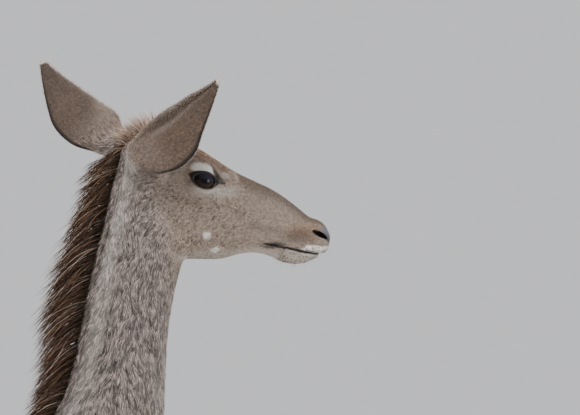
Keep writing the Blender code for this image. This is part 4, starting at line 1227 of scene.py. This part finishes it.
def make_spine_crest(draw):
    amount = 1600
    rows = moved(TRUNK[2:9], 0, WITHERS_HEIGHT)
    where, root, along, up = crest_hairs(rows, amount, draw)
    aside = draw.normal(size=amount) * 0.5
    y = np.array((0, 1.0, 0))
    up = np.tile(np.array((0, 0, 1.0)), (amount, 1))
    root = root + y * (0.008 * aside)[:, None] - up * 0.006
    length = (0.040 - 0.018 * where) * draw.uniform(0.7, 1.2, amount)
    lift = 0.34 + 0.10 * draw.normal(size=amount)
    out = along * np.cos(lift + 0.3)[:, None] + up * np.sin(lift + 0.3)[:, None] + y * (0.2 * aside)[:, None]
    lie = along * np.cos(lift - 0.25)[:, None] + up * np.sin(lift - 0.25)[:, None]
    masks = mixed(amount, dark=0.50, rust=0.55, pale=0.25 * (draw.random(amount) < 0.25))
    tone = 0.5 * draw.normal(size=amount)
    chart = np.stack([0.5 + 0.2 * aside, 0.02 + 0.96 * where], 1)
    piece = hairs("crest_of_the_back", root, unit(out), unit(lie), up, length,
                  0.0026 * draw.uniform(0.7, 1.3, amount), 3, np.clip(chart, 0.01, 0.99), masks, tone, 0.003)
    coat_finish(piece)


def make_poll_tuft(draw):
    """The upright orange brown tuft between the ears."""
    amount = 1300
    back = draw.random(amount)
    aside = draw.normal(size=amount) * 0.6
    x = EYE_X - 0.052 - 0.062 * back
    z = EYE_HEIGHT + 0.066 + 0.006 * np.sin(math.pi * back) - 0.014 * back**4 - 0.004 * np.abs(aside)
    root = np.stack([x, 0.012 * aside, z], 1)
    out = np.stack([0.15 - 0.7 * back, 0.18 * aside, 1 - 0.2 * back], 1)
    lie = np.stack([-0.15 - 1.0 * back, 0.25 * aside, 0.9 - 0.7 * back], 1)
    jitter = 0.14 * draw.normal(size=(amount, 3))
    length = draw.uniform(0.026, 0.054, amount) * (1 - 0.25 * np.abs(aside))
    masks = mixed(amount, rust=0.55, dark=0.60 * (draw.random(amount) < 0.35),
                  pale=0.60 * (draw.random(amount) < 0.42))
    tone = 0.80 * draw.normal(size=amount) + 0.15
    normal = unit(np.stack([-0.5 * back, 0.3 * aside, np.ones(amount)], 1))
    chart = np.stack([np.clip(0.5 + 0.2 * aside, 0.01, 0.99), 0.02 + 0.96 * back], 1)
    piece = hairs("poll_tuft", root, unit(out + jitter), unit(lie + jitter), normal, length,
                  0.0013 * draw.uniform(0.7, 1.3, amount), 3, chart, masks, tone, 0.006)
    coat_finish(piece)


def make_tail_hair(draw):
    amount = 2800
    rows = between(TAIL, 6)
    pick = (draw.random(amount) ** 0.75 * (len(rows) - 7) + 5).astype(int)
    row = rows[pick]
    share_down = pick / (len(rows) - 1)
    turn = draw.uniform(0, math.tau, amount)
    x, y = np.cos(turn), np.sin(turn)
    half = 0.5 * np.hypot(row[:, 0] - row[:, 2], 0)
    root = np.stack([0.5 * (row[:, 0] + row[:, 2]) - half * 0.8 * x, 0.72 * row[:, 4] * y,
                     0.5 * (row[:, 1] + row[:, 3]) + draw.uniform(-0.006, 0.006, amount)], 1)
    down = -np.ones(amount)
    out = unit(np.stack([-0.42 * x, 0.42 * y, down], 1))
    lie = unit(np.stack([-0.06 * x, 0.10 * y, down], 1) + 0.05 * draw.normal(size=(amount, 3)))
    length = (0.030 + 0.072 * share_down**1.5) * draw.uniform(0.75, 1.2, amount)
    outer = share(x, -0.2, 0.3)
    end = share(share_down, 0.60, 0.80)
    dark = np.maximum(0.30 * outer, 0.95 * end)
    masks = mixed(amount, pale=0.85 * (1 - outer) * (1 - end), dark=dark, rust=0.5 * outer * (1 - end))
    tone = 0.45 * draw.normal(size=amount)
    normal = unit(np.stack([-x, y, 0 * x], 1))
    chart = np.stack([0.02 + 0.96 * turn / math.tau, 0.02 + 0.96 * share_down], 1)
    piece = hairs("tail_hair", root, out, lie, normal, length, 0.0028 * draw.uniform(0.7, 1.3, amount),
                  3, chart, masks, tone, 0.002)
    coat_finish(piece)


def make_ear_hair(ear, draw):
    """A fringe along the ear's edges, and long pale hair inside it."""
    name, side, tip, opening, sway = ear
    rows = list(ear_rows(side, tip, opening, sway, 8))
    root_at, axis, mouth, across = (np.array(v) for v in ear_frame(side, tip, opening))
    at = np.array([r[0] for r in rows])
    centres = np.array([r[1] for r in rows])
    radii, wraps, thicks = (np.array([r[k] for r in rows]) for k in (2, 3, 4))

    def surface(reach, span, inside):
        centre = np.stack([np.interp(reach, at, centres[:, k]) for k in range(3)], 1)
        radius, wrap, thick = (np.interp(reach, at, v) for v in (radii, wraps, thicks))
        turn = wrap * span
        ray = across * np.sin(turn)[:, None] - mouth * np.cos(turn)[:, None]
        return centre + ray * (radius - thick * inside)[:, None], ray, turn

    def round_way(turn):
        return across * np.cos(turn)[:, None] + mouth * np.sin(turn)[:, None]

    def up_the_ear(reach, span, inside):
        return unit(surface(reach + 0.04, span, inside)[0] - surface(reach - 0.02, span, inside)[0])

    amount = 2200
    reach = draw.uniform(0.04, 0.965, amount) ** 0.85
    edge = np.where(draw.random(amount) < 0.5, -1, 1)
    span = edge * draw.uniform(0.965, 1.0, amount)
    root, ray, turn = surface(reach, span, 0.75)
    ahead = up_the_ear(reach, span, 0.75)
    outward = round_way(turn) * edge[:, None]
    lateral = edge * side > 0
    spring = np.where(lateral, 0.35, 0.75)[:, None]
    out = unit(ahead * (0.75 + 0.5 * reach)[:, None] + outward * spring + 0.10 * draw.normal(size=(amount, 3)))
    length = np.where(lateral, draw.uniform(0.002, 0.0045, amount), draw.uniform(0.005, 0.010, amount))
    white = np.maximum(0.35, share(reach, 0.86, 0.96)) * lateral * (draw.random(amount) < 0.85)
    masks = mixed(amount, pale=np.maximum(0.95 * white, 0.20), rust=0.60 * (1 - white),
                  dark=0.25 * (1 - white))
    tone = 0.35 * draw.normal(size=amount)
    chart = np.stack([0.5 + 0.45 * edge, 0.03 + 0.9 * reach], 1)
    fringe = hairs(f"fringe_{name}", root, out, unit(out + ahead * 0.3), ray, length,
                   np.where(lateral, 0.0007, 0.0008), 2, chart, masks, tone, 0.001)
    coat_finish(fringe)

    amount = 1300
    reach = draw.uniform(0.22, 0.97, amount)
    fold = -0.30 if side < 0 else -0.85
    spread = (fold + draw.normal(size=amount) * 0.16).clip(-0.97, 0.5) * side
    root, ray, turn = surface(reach, spread, 0.0)
    ahead = up_the_ear(reach, spread, 0.0)
    out = unit(ray * 0.9 + ahead * 1.0 + 0.20 * draw.normal(size=(amount, 3)))
    length = draw.uniform(0.003, 0.0085, amount)
    masks = mixed(amount, pale=0.15, rust=0.60)
    tone = 0.35 * draw.normal(size=amount)
    chart = np.stack([0.5 + 0.45 * spread, 0.03 + 0.9 * reach], 1)
    fuzz = hairs(f"fuzz_{name}", root, out, unit(out + ahead * 0.4), ray, length,
                 np.full(amount, 0.0005), 2, chart, masks, tone, 0.001)
    coat_finish(fuzz)

    amount = 1200
    reach = draw.uniform(0.02, 0.86, amount)
    spread = draw.uniform(0.25, 0.97, amount) * np.where(draw.random(amount) < 0.5, -1, 1)
    root, ray, turn = surface(reach, spread, 0.95)
    ahead = up_the_ear(reach, spread, 0.95)
    inward = -round_way(turn) * np.sign(spread)[:, None]
    out = unit(-ray * 0.65 + ahead * 0.9 + inward * 0.35 + 0.10 * draw.normal(size=(amount, 3)))
    lie = unit(ahead + inward * 0.65 - ray * 0.28)
    length = draw.uniform(0.014, 0.030, amount) * (1 - 0.5 * reach)
    masks = mixed(amount, pale=0.85, rust=0.2)
    tone = 0.3 * draw.normal(size=amount)
    chart = np.stack([0.5 + 0.45 * spread, 0.03 + 0.9 * reach], 1)
    lining = hairs(f"lining_{name}", root, out, lie, -ray, length, np.full(amount, 0.0011), 3,
                   chart, masks, tone, 0.001)
    coat_finish(lining)


def rim_of_eye(skin, side):
    """Points round the edge between the lids, from the skin itself, evened out."""
    points = points_of(skin)
    edge = touching(skin, {3}) & touching(skin, {0}) & (np.sign(points[:, 1]) == side)
    edge = points[edge]
    _, along, high = lid_reach(edge)
    turn = np.arctan2(high, along * 0.55)
    steps = np.linspace(-math.pi, math.pi, 97)[:-1]
    order = np.argsort(turn)
    turn, edge = turn[order], edge[order]
    ring = np.stack([np.interp(steps, turn, edge[:, k], period=math.tau) for k in range(3)], 1)
    for _ in range(4):
        ring = 0.5 * ring + 0.25 * (np.roll(ring, 1, 0) + np.roll(ring, -1, 0))
    return ring, steps


def tube(name, ring, radius, material):
    """A closed round cord along a closed line."""
    ahead = unit(np.roll(ring, -1, 0) - np.roll(ring, 1, 0))
    middle = ring.mean(0)
    out = unit(ring - middle)
    out = unit(out - ahead * dot(out, ahead)[:, None])
    over = np.cross(ahead, out)
    sides = 10
    rows = []
    for i in range(sides):
        turn = math.tau * i / sides
        rows.append(ring + (out * math.cos(turn) + over * math.sin(turn)) * radius)
    points = placed(np.stack(rows, 1).reshape(-1, 3))
    count = len(ring)
    faces = []
    for i in range(count):
        for j in range(sides):
            k, following = (j + 1) % sides, (i + 1) % count
            faces.append((i * sides + j, i * sides + k, following * sides + k, following * sides + j))
    mesh = bpy.data.meshes.new(name)
    mesh.from_pydata(points.tolist(), [], faces)
    bm = bmesh.new()
    bm.from_mesh(mesh)
    bmesh.ops.recalc_face_normals(bm, faces=bm.faces)
    bm.to_mesh(mesh)
    bm.free()
    mesh.shade_smooth()
    mesh.materials.append(material)
    return linked(name, mesh)


def make_eye(skin, side, draw):
    """The ball with its dark iris and long pupil, the wet rim of the lids, and the lashes."""
    word = "right" if side < 0 else "left"
    look = np.array(eye_look(side))
    bm = bmesh.new()
    bmesh.ops.create_uvsphere(bm, u_segments=64, v_segments=48, radius=EYE_RADIUS)
    name = f"eyeball_{word}"
    turn = Vector((0, 0, 1)).rotation_difference(Vector(look)).to_matrix().to_4x4()
    bm.transform(turn)
    obj = new_object(name, bm)
    away = points_of(obj)
    aim = unit(away) @ look
    away *= (1 + 0.055 * share(aim, 0.70, 1.0))[:, None]
    along, high = away @ np.array(LID_FORWARD), away @ np.array(LID_UP)
    store(obj.data, "iris", np.hypot(along, high) / EYE_RADIUS + (aim < 0) * 2)
    store(obj.data, "pupil", np.hypot(along / 0.0098, high / 0.0056) + (aim < 0) * 9)
    # upper: the top of the visible ball, where a bluish painted reflection of the sky is laid
    store(obj.data, "upper", share(high, 0.000, 0.009) * share(aim, 0.3, 0.6))
    set_points(obj, placed(away + np.array(eye_centre(side))))
    obj.data.shade_smooth()
    obj.data.materials.append(FINISH["eye"])
    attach(obj, "root")
    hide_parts(f"eye_{word}")
    ring, steps = rim_of_eye(skin, side)
    rim = tube(f"lid_rim_{word}", ring - look * 0.0004, 0.0008, FINISH["wet_black"])
    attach(rim, "root")
    lashes = []
    for amount, low, high, long, droop in ((90, 0.20, 2.85, 0.0150, -0.42), (34, -2.7, -0.3, 0.0055, -0.5)):
        at = np.linspace(low, high, amount) + draw.normal(size=amount) * 0.02
        root = np.stack([np.interp(at, steps, ring[:, k], period=math.tau) for k in range(3)], 1)
        outward = unit(root - np.array(eye_centre(side)))
        fan = np.array(LID_FORWARD) * (0.75 * np.cos(at))[:, None]
        up = np.array(LID_UP)
        out = unit(look * 0.9 + outward * 0.5 + fan * 0.4 + up * (0.15 if long > 0.01 else -0.3))
        lie = unit(look * 0.8 + fan + up * droop)
        length = long * (0.65 + 0.35 * np.abs(np.sin(at))) * draw.uniform(0.8, 1.15, amount)
        lashes.append((root, out, lie, outward, length))
    root, out, lie, outward, length = (np.concatenate(v) for v in zip(*lashes))
    count = len(root)
    chart = np.stack([np.linspace(0.02, 0.98, count), np.full(count, 0.5)], 1)
    # The lashes are dark brown rather than black: a painted highlight standing in for their glint
    piece = hairs(f"lashes_{word}", root, out, lie, np.cross(out, np.array(LID_FORWARD)) + 1e-6,
                  length, np.full(count, 0.00065), 4, chart, mixed(count, dark=0.86),
                  0.3 * draw.normal(size=count) + 0.2, 0.001)
    coat_finish(piece)


def make_whiskers(skin, draw):
    """Dark whiskers on lips and chin, each on its dark spot."""

    def thickly(middle, normals):
        face = middle - FACE
        off = face[:, 2] - mouth_line(face[:, 0])[0]
        upper = (off > 0.003) & (off < 0.013) & (face[:, 0] > 0.185)
        chin = (off < -0.004) & (off > -0.030) & (face[:, 0] > 0.150)
        return (upper + 0.7 * chin) * (past_poll(middle) > 0)

    root, normal = scatter(skin, (0,), 760, thickly, draw)
    lie = flow(root, normal)
    count = len(root)
    long = draw.random(count) < 0.10
    out = unit(lie * 0.5 + normal + np.array((0, 0, -0.3)))
    bent = unit(lie + normal * 0.3 + np.array((0, 0, -0.5)))
    out[~long] = unit(lie + normal * 0.25)[~long]
    length = np.where(long, draw.uniform(0.008, 0.016, count), 0.0029)
    width = np.where(long, 0.0004, 0.0016)
    piece = hairs("whiskers", root, out, bent, normal, length, width, 3, head_chart(root, normal),
                  mixed(count, dark=0.95), 0.2 * draw.normal(size=count), 0.0004)
    coat_finish(piece)


def linear(red, green, blue):
    """A colour given in screen values from 0 to 255, as the light it stands for."""
    scale = [v / 255 for v in (red, green, blue)]
    return tuple(v / 12.92 if v <= 0.04045 else ((v + 0.055) / 1.055) ** 2.4 for v in scale) + (1,)


class Wiring:
    """Short words for building a node tree."""

    def __init__(self, tree):
        self.tree = tree

    def node(self, kind, **settings):
        made = self.tree.nodes.new(kind)
        for key, value in settings.items():
            setattr(made, key, value)
        return made

    def put(self, value, socket):
        if isinstance(value, bpy.types.NodeSocket):
            self.tree.links.new(value, socket)
        elif value is not None:
            socket.default_value = value

    def mix(self, factor, a, b, blend="MIX"):
        made = self.node("ShaderNodeMix", data_type="RGBA", blend_type=blend)
        self.put(factor, made.inputs[0])
        self.put(a, made.inputs[6])
        self.put(b, made.inputs[7])
        return made.outputs[2]

    def math(self, operation, a, b=None, c=None, clamp=False):
        made = self.node("ShaderNodeMath", operation=operation, use_clamp=clamp)
        for value, socket in zip((a, b, c), made.inputs):
            self.put(value, socket)
        return made.outputs[0]

    def noise(self, vector, scale, detail=3.0, roughness=0.55):
        made = self.node("ShaderNodeTexNoise")
        self.put(vector, made.inputs["Vector"])
        made.inputs["Scale"].default_value = scale
        made.inputs["Detail"].default_value = detail
        made.inputs["Roughness"].default_value = roughness
        return made.outputs["Fac"]

    def place(self):
        return self.node("ShaderNodeTexCoord").outputs["Object"]

    def field(self, name):
        return self.node("ShaderNodeAttribute", attribute_name=name).outputs["Fac"]


def colour_group():
    """The colours of the coat, from its markings and each tuft's own tone."""
    tree = bpy.data.node_groups.new("coat_colour", "ShaderNodeTree")
    for key in ("Pale", "Dark", "Rust", "Grey", "Tone", "Tip"):
        tree.interface.new_socket(key, in_out="INPUT", socket_type="NodeSocketFloat")
    tree.interface.new_socket("Colour", in_out="OUTPUT", socket_type="NodeSocketColor")
    w = Wiring(tree)
    given = w.node("NodeGroupInput").outputs
    broad = w.noise(w.place(), 9.0, 2.0)
    fine = w.noise(w.place(), 420.0, 2.0)
    base = w.mix(broad, COAT_BROWN, COAT_WARM)
    base = w.mix(given["Grey"], base, COAT_GREY)
    base = w.mix(given["Rust"], base, COAT_RUST)
    # Each tuft is darker at its root and lighter at its tip: partly the hair's own banding, partly painted shade
    # deep in the coat
    banding_and_root_shade = w.math("MULTIPLY_ADD", given["Tip"], 1.0, 0.40)
    toned = w.math("POWER", 2.0, given["Tone"])
    flecked = w.math("MULTIPLY_ADD", fine, 0.5, 0.75)
    light = w.math("MULTIPLY", banding_and_root_shade, w.math("MULTIPLY", toned, flecked))
    light = w.math("MINIMUM", w.math("MAXIMUM", light, 0.12), 2.5)
    base = w.mix(1.0, base, shade(w, light), "MULTIPLY")
    soft = w.math("MULTIPLY_ADD", w.math("SUBTRACT", light, 1.0), 0.30, 0.95)
    soft = w.math("MINIMUM", soft, 1.08)
    cream = w.mix(1.0, COAT_CREAM, shade(w, soft), "MULTIPLY")
    black = w.mix(1.0, COAT_BLACK, shade(w, light), "MULTIPLY")
    base = w.mix(given["Pale"], base, cream)
    base = w.mix(given["Dark"], base, black)
    out = w.node("NodeGroupOutput")
    w.put(base, out.inputs["Colour"])
    return tree


def shade(w, value):
    made = w.node("ShaderNodeCombineColor")
    for socket in made.inputs:
        w.put(value, socket)
    return made.outputs[0]


COAT_BROWN, COAT_WARM = linear(144, 127, 114), linear(155, 138, 125)
COAT_GREY = linear(156, 145, 142)
COAT_RUST = linear(150, 108, 78)
COAT_CREAM = linear(240, 235, 228)
COAT_BLACK = linear(30, 23, 20)
BARE_BLACK = linear(22, 19, 20)
# Grey of the nose's top: dark bare skin lightened by a painted reflection
NOSE_GREY_AND_REFLECTION = linear(118, 116, 122)
FINISH = {}


def new_material(name, roughness):
    made = bpy.data.materials.new(name)
    made.use_nodes = True
    shader = made.node_tree.nodes["Principled BSDF"]
    shader.inputs["Roughness"].default_value = roughness
    return made, Wiring(made.node_tree), shader


def coated(w, colours, tone, tip):
    group = w.node("ShaderNodeGroup", node_tree=colours)
    for key in ("Pale", "Dark", "Rust", "Grey"):
        w.put(w.field(key.lower()), group.inputs[key])
    w.put(tone, group.inputs["Tone"])
    w.put(tip, group.inputs["Tip"])
    return group.outputs["Colour"]


def make_finishes():
    colours = colour_group()
    made, w, shader = new_material("coat_hair", 0.72)
    w.put(coated(w, colours, w.field("tone"), w.field("tip")), shader.inputs["Base Color"])
    shader.inputs["Sheen Weight"].default_value = 0.02
    shader.inputs["Specular IOR Level"].default_value = 0.16
    FINISH["coat"] = made

    made, w, shader = new_material("skin", 0.78)
    place = w.place()
    streak = w.math("MULTIPLY_ADD", w.noise(place, 260.0, 4.0, 0.7), 3.2, -1.6)
    skin = coated(w, colours, streak, 0.25)
    pebble = w.node("ShaderNodeTexVoronoi", feature="DISTANCE_TO_EDGE")
    w.put(place, pebble.inputs["Vector"])
    pebble.inputs["Scale"].default_value = 520.0
    cell = w.math("MULTIPLY", pebble.outputs["Distance"], 2.2, clamp=True)
    bare = w.field("bare")
    nose = w.mix(w.field("dark"), NOSE_GREY_AND_REFLECTION, BARE_BLACK)
    nose = w.mix(w.math("MULTIPLY_ADD", cell, 0.6, 0.4), BARE_BLACK, nose)
    w.put(w.mix(bare, skin, nose), shader.inputs["Base Color"])
    w.put(w.math("MULTIPLY_ADD", bare, -0.42, 0.80), shader.inputs["Roughness"])
    relief = w.math("MULTIPLY_ADD", bare, w.math("MULTIPLY", cell, 0.5), w.noise(place, 380.0, 3.0))
    bump = w.node("ShaderNodeBump")
    bump.inputs["Strength"].default_value = 0.5
    bump.inputs["Distance"].default_value = 0.0012
    w.put(relief, bump.inputs["Height"])
    w.put(bump.outputs["Normal"], shader.inputs["Normal"])
    FINISH["skin"] = made

    # Near black lining of the eye sockets and nostrils: dark skin deepened by painted shade in these hollows
    made, w, shader = new_material("hollow_painted_shade", 0.70)
    depth = w.noise(w.place(), 300.0)
    w.put(w.mix(depth, linear(14, 10, 10), linear(34, 26, 25)), shader.inputs["Base Color"])
    FINISH["hollow_shade"] = made

    made, w, shader = new_material("wet_black", 0.28)
    w.put(w.mix(w.noise(w.place(), 500.0), linear(16, 13, 13), linear(40, 34, 33)), shader.inputs["Base Color"])
    shader.inputs["Coat Weight"].default_value = 0.5
    shader.inputs["Coat Roughness"].default_value = 0.15
    FINISH["wet_black"] = made

    made, w, shader = new_material("eye_surface", 0.12)
    ring, pupil, upper = w.field("iris"), w.field("pupil"), w.field("upper")
    fibres = w.noise(w.place(), 700.0, 3.0)
    iris = w.mix(fibres, linear(18, 10, 7), linear(44, 25, 15))
    edge = w.node("ShaderNodeMapRange")
    w.put(ring, edge.inputs["Value"])
    edge.inputs["From Min"].default_value = 0.60
    edge.inputs["From Max"].default_value = 0.78
    iris = w.mix(edge.outputs["Result"], iris, linear(9, 7, 8))
    hole = w.node("ShaderNodeMapRange")
    w.put(pupil, hole.inputs["Value"])
    hole.inputs["From Min"].default_value = 0.90
    hole.inputs["From Max"].default_value = 1.10
    ball_colour = w.mix(hole.outputs["Result"], linear(4, 3, 5), iris)
    # A bluish painted reflection of the sky over the top of the ball
    painted_sky_reflection = w.math("MULTIPLY", upper, w.math("MULTIPLY_ADD", fibres, 0.5, 0.05))
    w.put(w.mix(painted_sky_reflection, ball_colour, linear(70, 78, 108)), shader.inputs["Base Color"])
    shader.inputs["Specular IOR Level"].default_value = 0.05
    shader.inputs["Coat Weight"].default_value = 0.22
    shader.inputs["Coat Roughness"].default_value = 0.03
    FINISH["eye"] = made

    made, w, shader = new_material("hoof_horn_finish", 0.42)
    stretched = w.node("ShaderNodeMapping")
    stretched.inputs["Scale"].default_value = (30, 30, 420)
    w.put(w.place(), stretched.inputs["Vector"])
    rings = w.noise(stretched.outputs[0], 1.0, 3.0)
    worn = w.noise(w.place(), 60.0, 4.0)
    horn = w.mix(rings, linear(28, 24, 22), linear(70, 60, 52))
    w.put(w.mix(w.math("MULTIPLY", worn, 0.5), horn, linear(98, 86, 74)), shader.inputs["Base Color"])
    w.put(w.math("MULTIPLY_ADD", worn, 0.3, 0.32), shader.inputs["Roughness"])
    bump = w.node("ShaderNodeBump")
    bump.inputs["Strength"].default_value = 0.35
    bump.inputs["Distance"].default_value = 0.0008
    w.put(rings, bump.inputs["Height"])
    w.put(bump.outputs["Normal"], shader.inputs["Normal"])
    FINISH["horn"] = made


def area_light(name, place, aim, size, power, colour):
    lamp = bpy.data.lights.new(name, "AREA")
    lamp.shape = "RECTANGLE"
    lamp.size, lamp.size_y = size
    lamp.energy, lamp.color = power, colour
    obj = bpy.data.objects.new(name, lamp)
    bpy.context.scene.collection.objects.link(obj)
    obj.location = place
    obj.rotation_euler = (Vector(aim) - Vector(place)).to_track_quat("-Z", "Y").to_euler()


def make_studio():
    """A plain pale floor and soft light from above."""
    bm = bmesh.new()
    bmesh.ops.create_circle(bm, cap_ends=True, segments=96, radius=9)
    floor = new_object("floor", bm)
    made, w, shader = new_material("floor_paint", 0.85)
    w.put(w.mix(w.noise(w.place(), 3.0), linear(206, 204, 200), linear(214, 212, 208)), shader.inputs["Base Color"])
    floor.data.materials.append(made)
    floor.location.z = -0.0005
    world = bpy.data.worlds.new("studio")
    bpy.context.scene.world = world
    world.use_nodes = True
    backdrop = world.node_tree.nodes["Background"]
    backdrop.inputs["Color"].default_value = (0.78, 0.79, 0.81, 1)
    backdrop.inputs["Strength"].default_value = 0.92
    face = (0.6, 0, 1.7)
    area_light("key", (-0.6, -3.4, 4.6), face, (2.0, 1.6), 230, (1.0, 0.97, 0.93))
    area_light("rim", (-0.5, 5.4, 4.4), face, (2.4, 1.6), 560, (1.0, 0.90, 0.76))
    area_light("fill", (5.0, -2.4, 1.4), face, (2.6, 2.0), 110, (0.94, 0.97, 1.0))


FRAME_WIDTH, CAMERA_TURN, CAMERA_RISE, CAMERA_AWAY = 0.957, -7.0, 5.0, 12.0


def make_camera():
    """The photo's viewing angle and framing: the near eye lies at (205, 180) of 580 by 415."""
    a, e = math.radians(CAMERA_TURN), math.radians(CAMERA_RISE)
    back = Vector((math.sin(a) * math.cos(e), -math.cos(a) * math.cos(e), math.sin(e)))
    right = Vector((math.cos(a), math.sin(a), 0))
    up = back.cross(right)
    step = FRAME_WIDTH / 580
    eye = Vector(placed(np.array([(EYE_X, -0.0555, EYE_HEIGHT)]))[0])
    target = eye + right * (290 - 205) * step - up * (207.5 - 180) * step
    lens = bpy.data.cameras.new("camera")
    lens.sensor_width = 36
    lens.lens = 36 * CAMERA_AWAY / FRAME_WIDTH
    lens.clip_end = 100
    camera = bpy.data.objects.new("camera", lens)
    bpy.context.scene.collection.objects.link(camera)
    place = Matrix((right, up, back)).transposed().to_4x4()
    place.translation = target + back * CAMERA_AWAY
    camera.matrix_world = place
    bpy.context.scene.camera = camera


def mark(skin):
    """Stores the markings on the skin and gives its faces their finishes."""
    points, normals = points_of(skin), normals_of(skin)
    for key, values in zip(MASKS, markings(points, normals).T):
        store(skin.data, key, values)
    kinds = read(skin.data.polygons, "material_index", 1, np.int32)
    skin.data.materials.clear()
    for key in ("skin", "skin", "skin", "hollow_shade", "hollow_shade"):
        skin.data.materials.append(FINISH[key])
    skin.data.polygons.foreach_set("material_index", kinds)
    skin.data.shade_smooth()


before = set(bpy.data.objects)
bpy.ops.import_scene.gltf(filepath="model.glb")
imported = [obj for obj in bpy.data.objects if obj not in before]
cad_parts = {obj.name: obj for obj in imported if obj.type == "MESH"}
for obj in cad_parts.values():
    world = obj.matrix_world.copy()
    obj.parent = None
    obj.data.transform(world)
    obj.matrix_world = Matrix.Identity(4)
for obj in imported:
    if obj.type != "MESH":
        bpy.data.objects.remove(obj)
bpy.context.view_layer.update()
near_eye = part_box("eye_right")
SHIFT = turned([eye_centre(-1)])[0] - (np.array(near_eye[0]) + np.array(near_eye[1])) / 2
make_finishes()
skin = make_skin()
mark(skin)
draw = np.random.default_rng(7)
make_coat(skin)
make_mane(draw)
make_spine_crest(draw)
make_poll_tuft(draw)
make_tail_hair(draw)
for ear in EARS:
    make_ear_hair(ear, draw)
for side in (-1, 1):
    make_eye(skin, side, draw)
make_whiskers(skin, draw)
set_points(skin, placed(points_of(skin)))
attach(skin, "root")
flesh = [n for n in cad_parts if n.startswith(("head", "neck", "torso", "tail", "leg", "ear"))]
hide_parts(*flesh)
for name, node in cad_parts.items():
    if name.startswith(("hoof", "dewclaw")):
        for place in node.material_slots:
            place.material = FINISH["horn"]
make_studio()
make_camera()
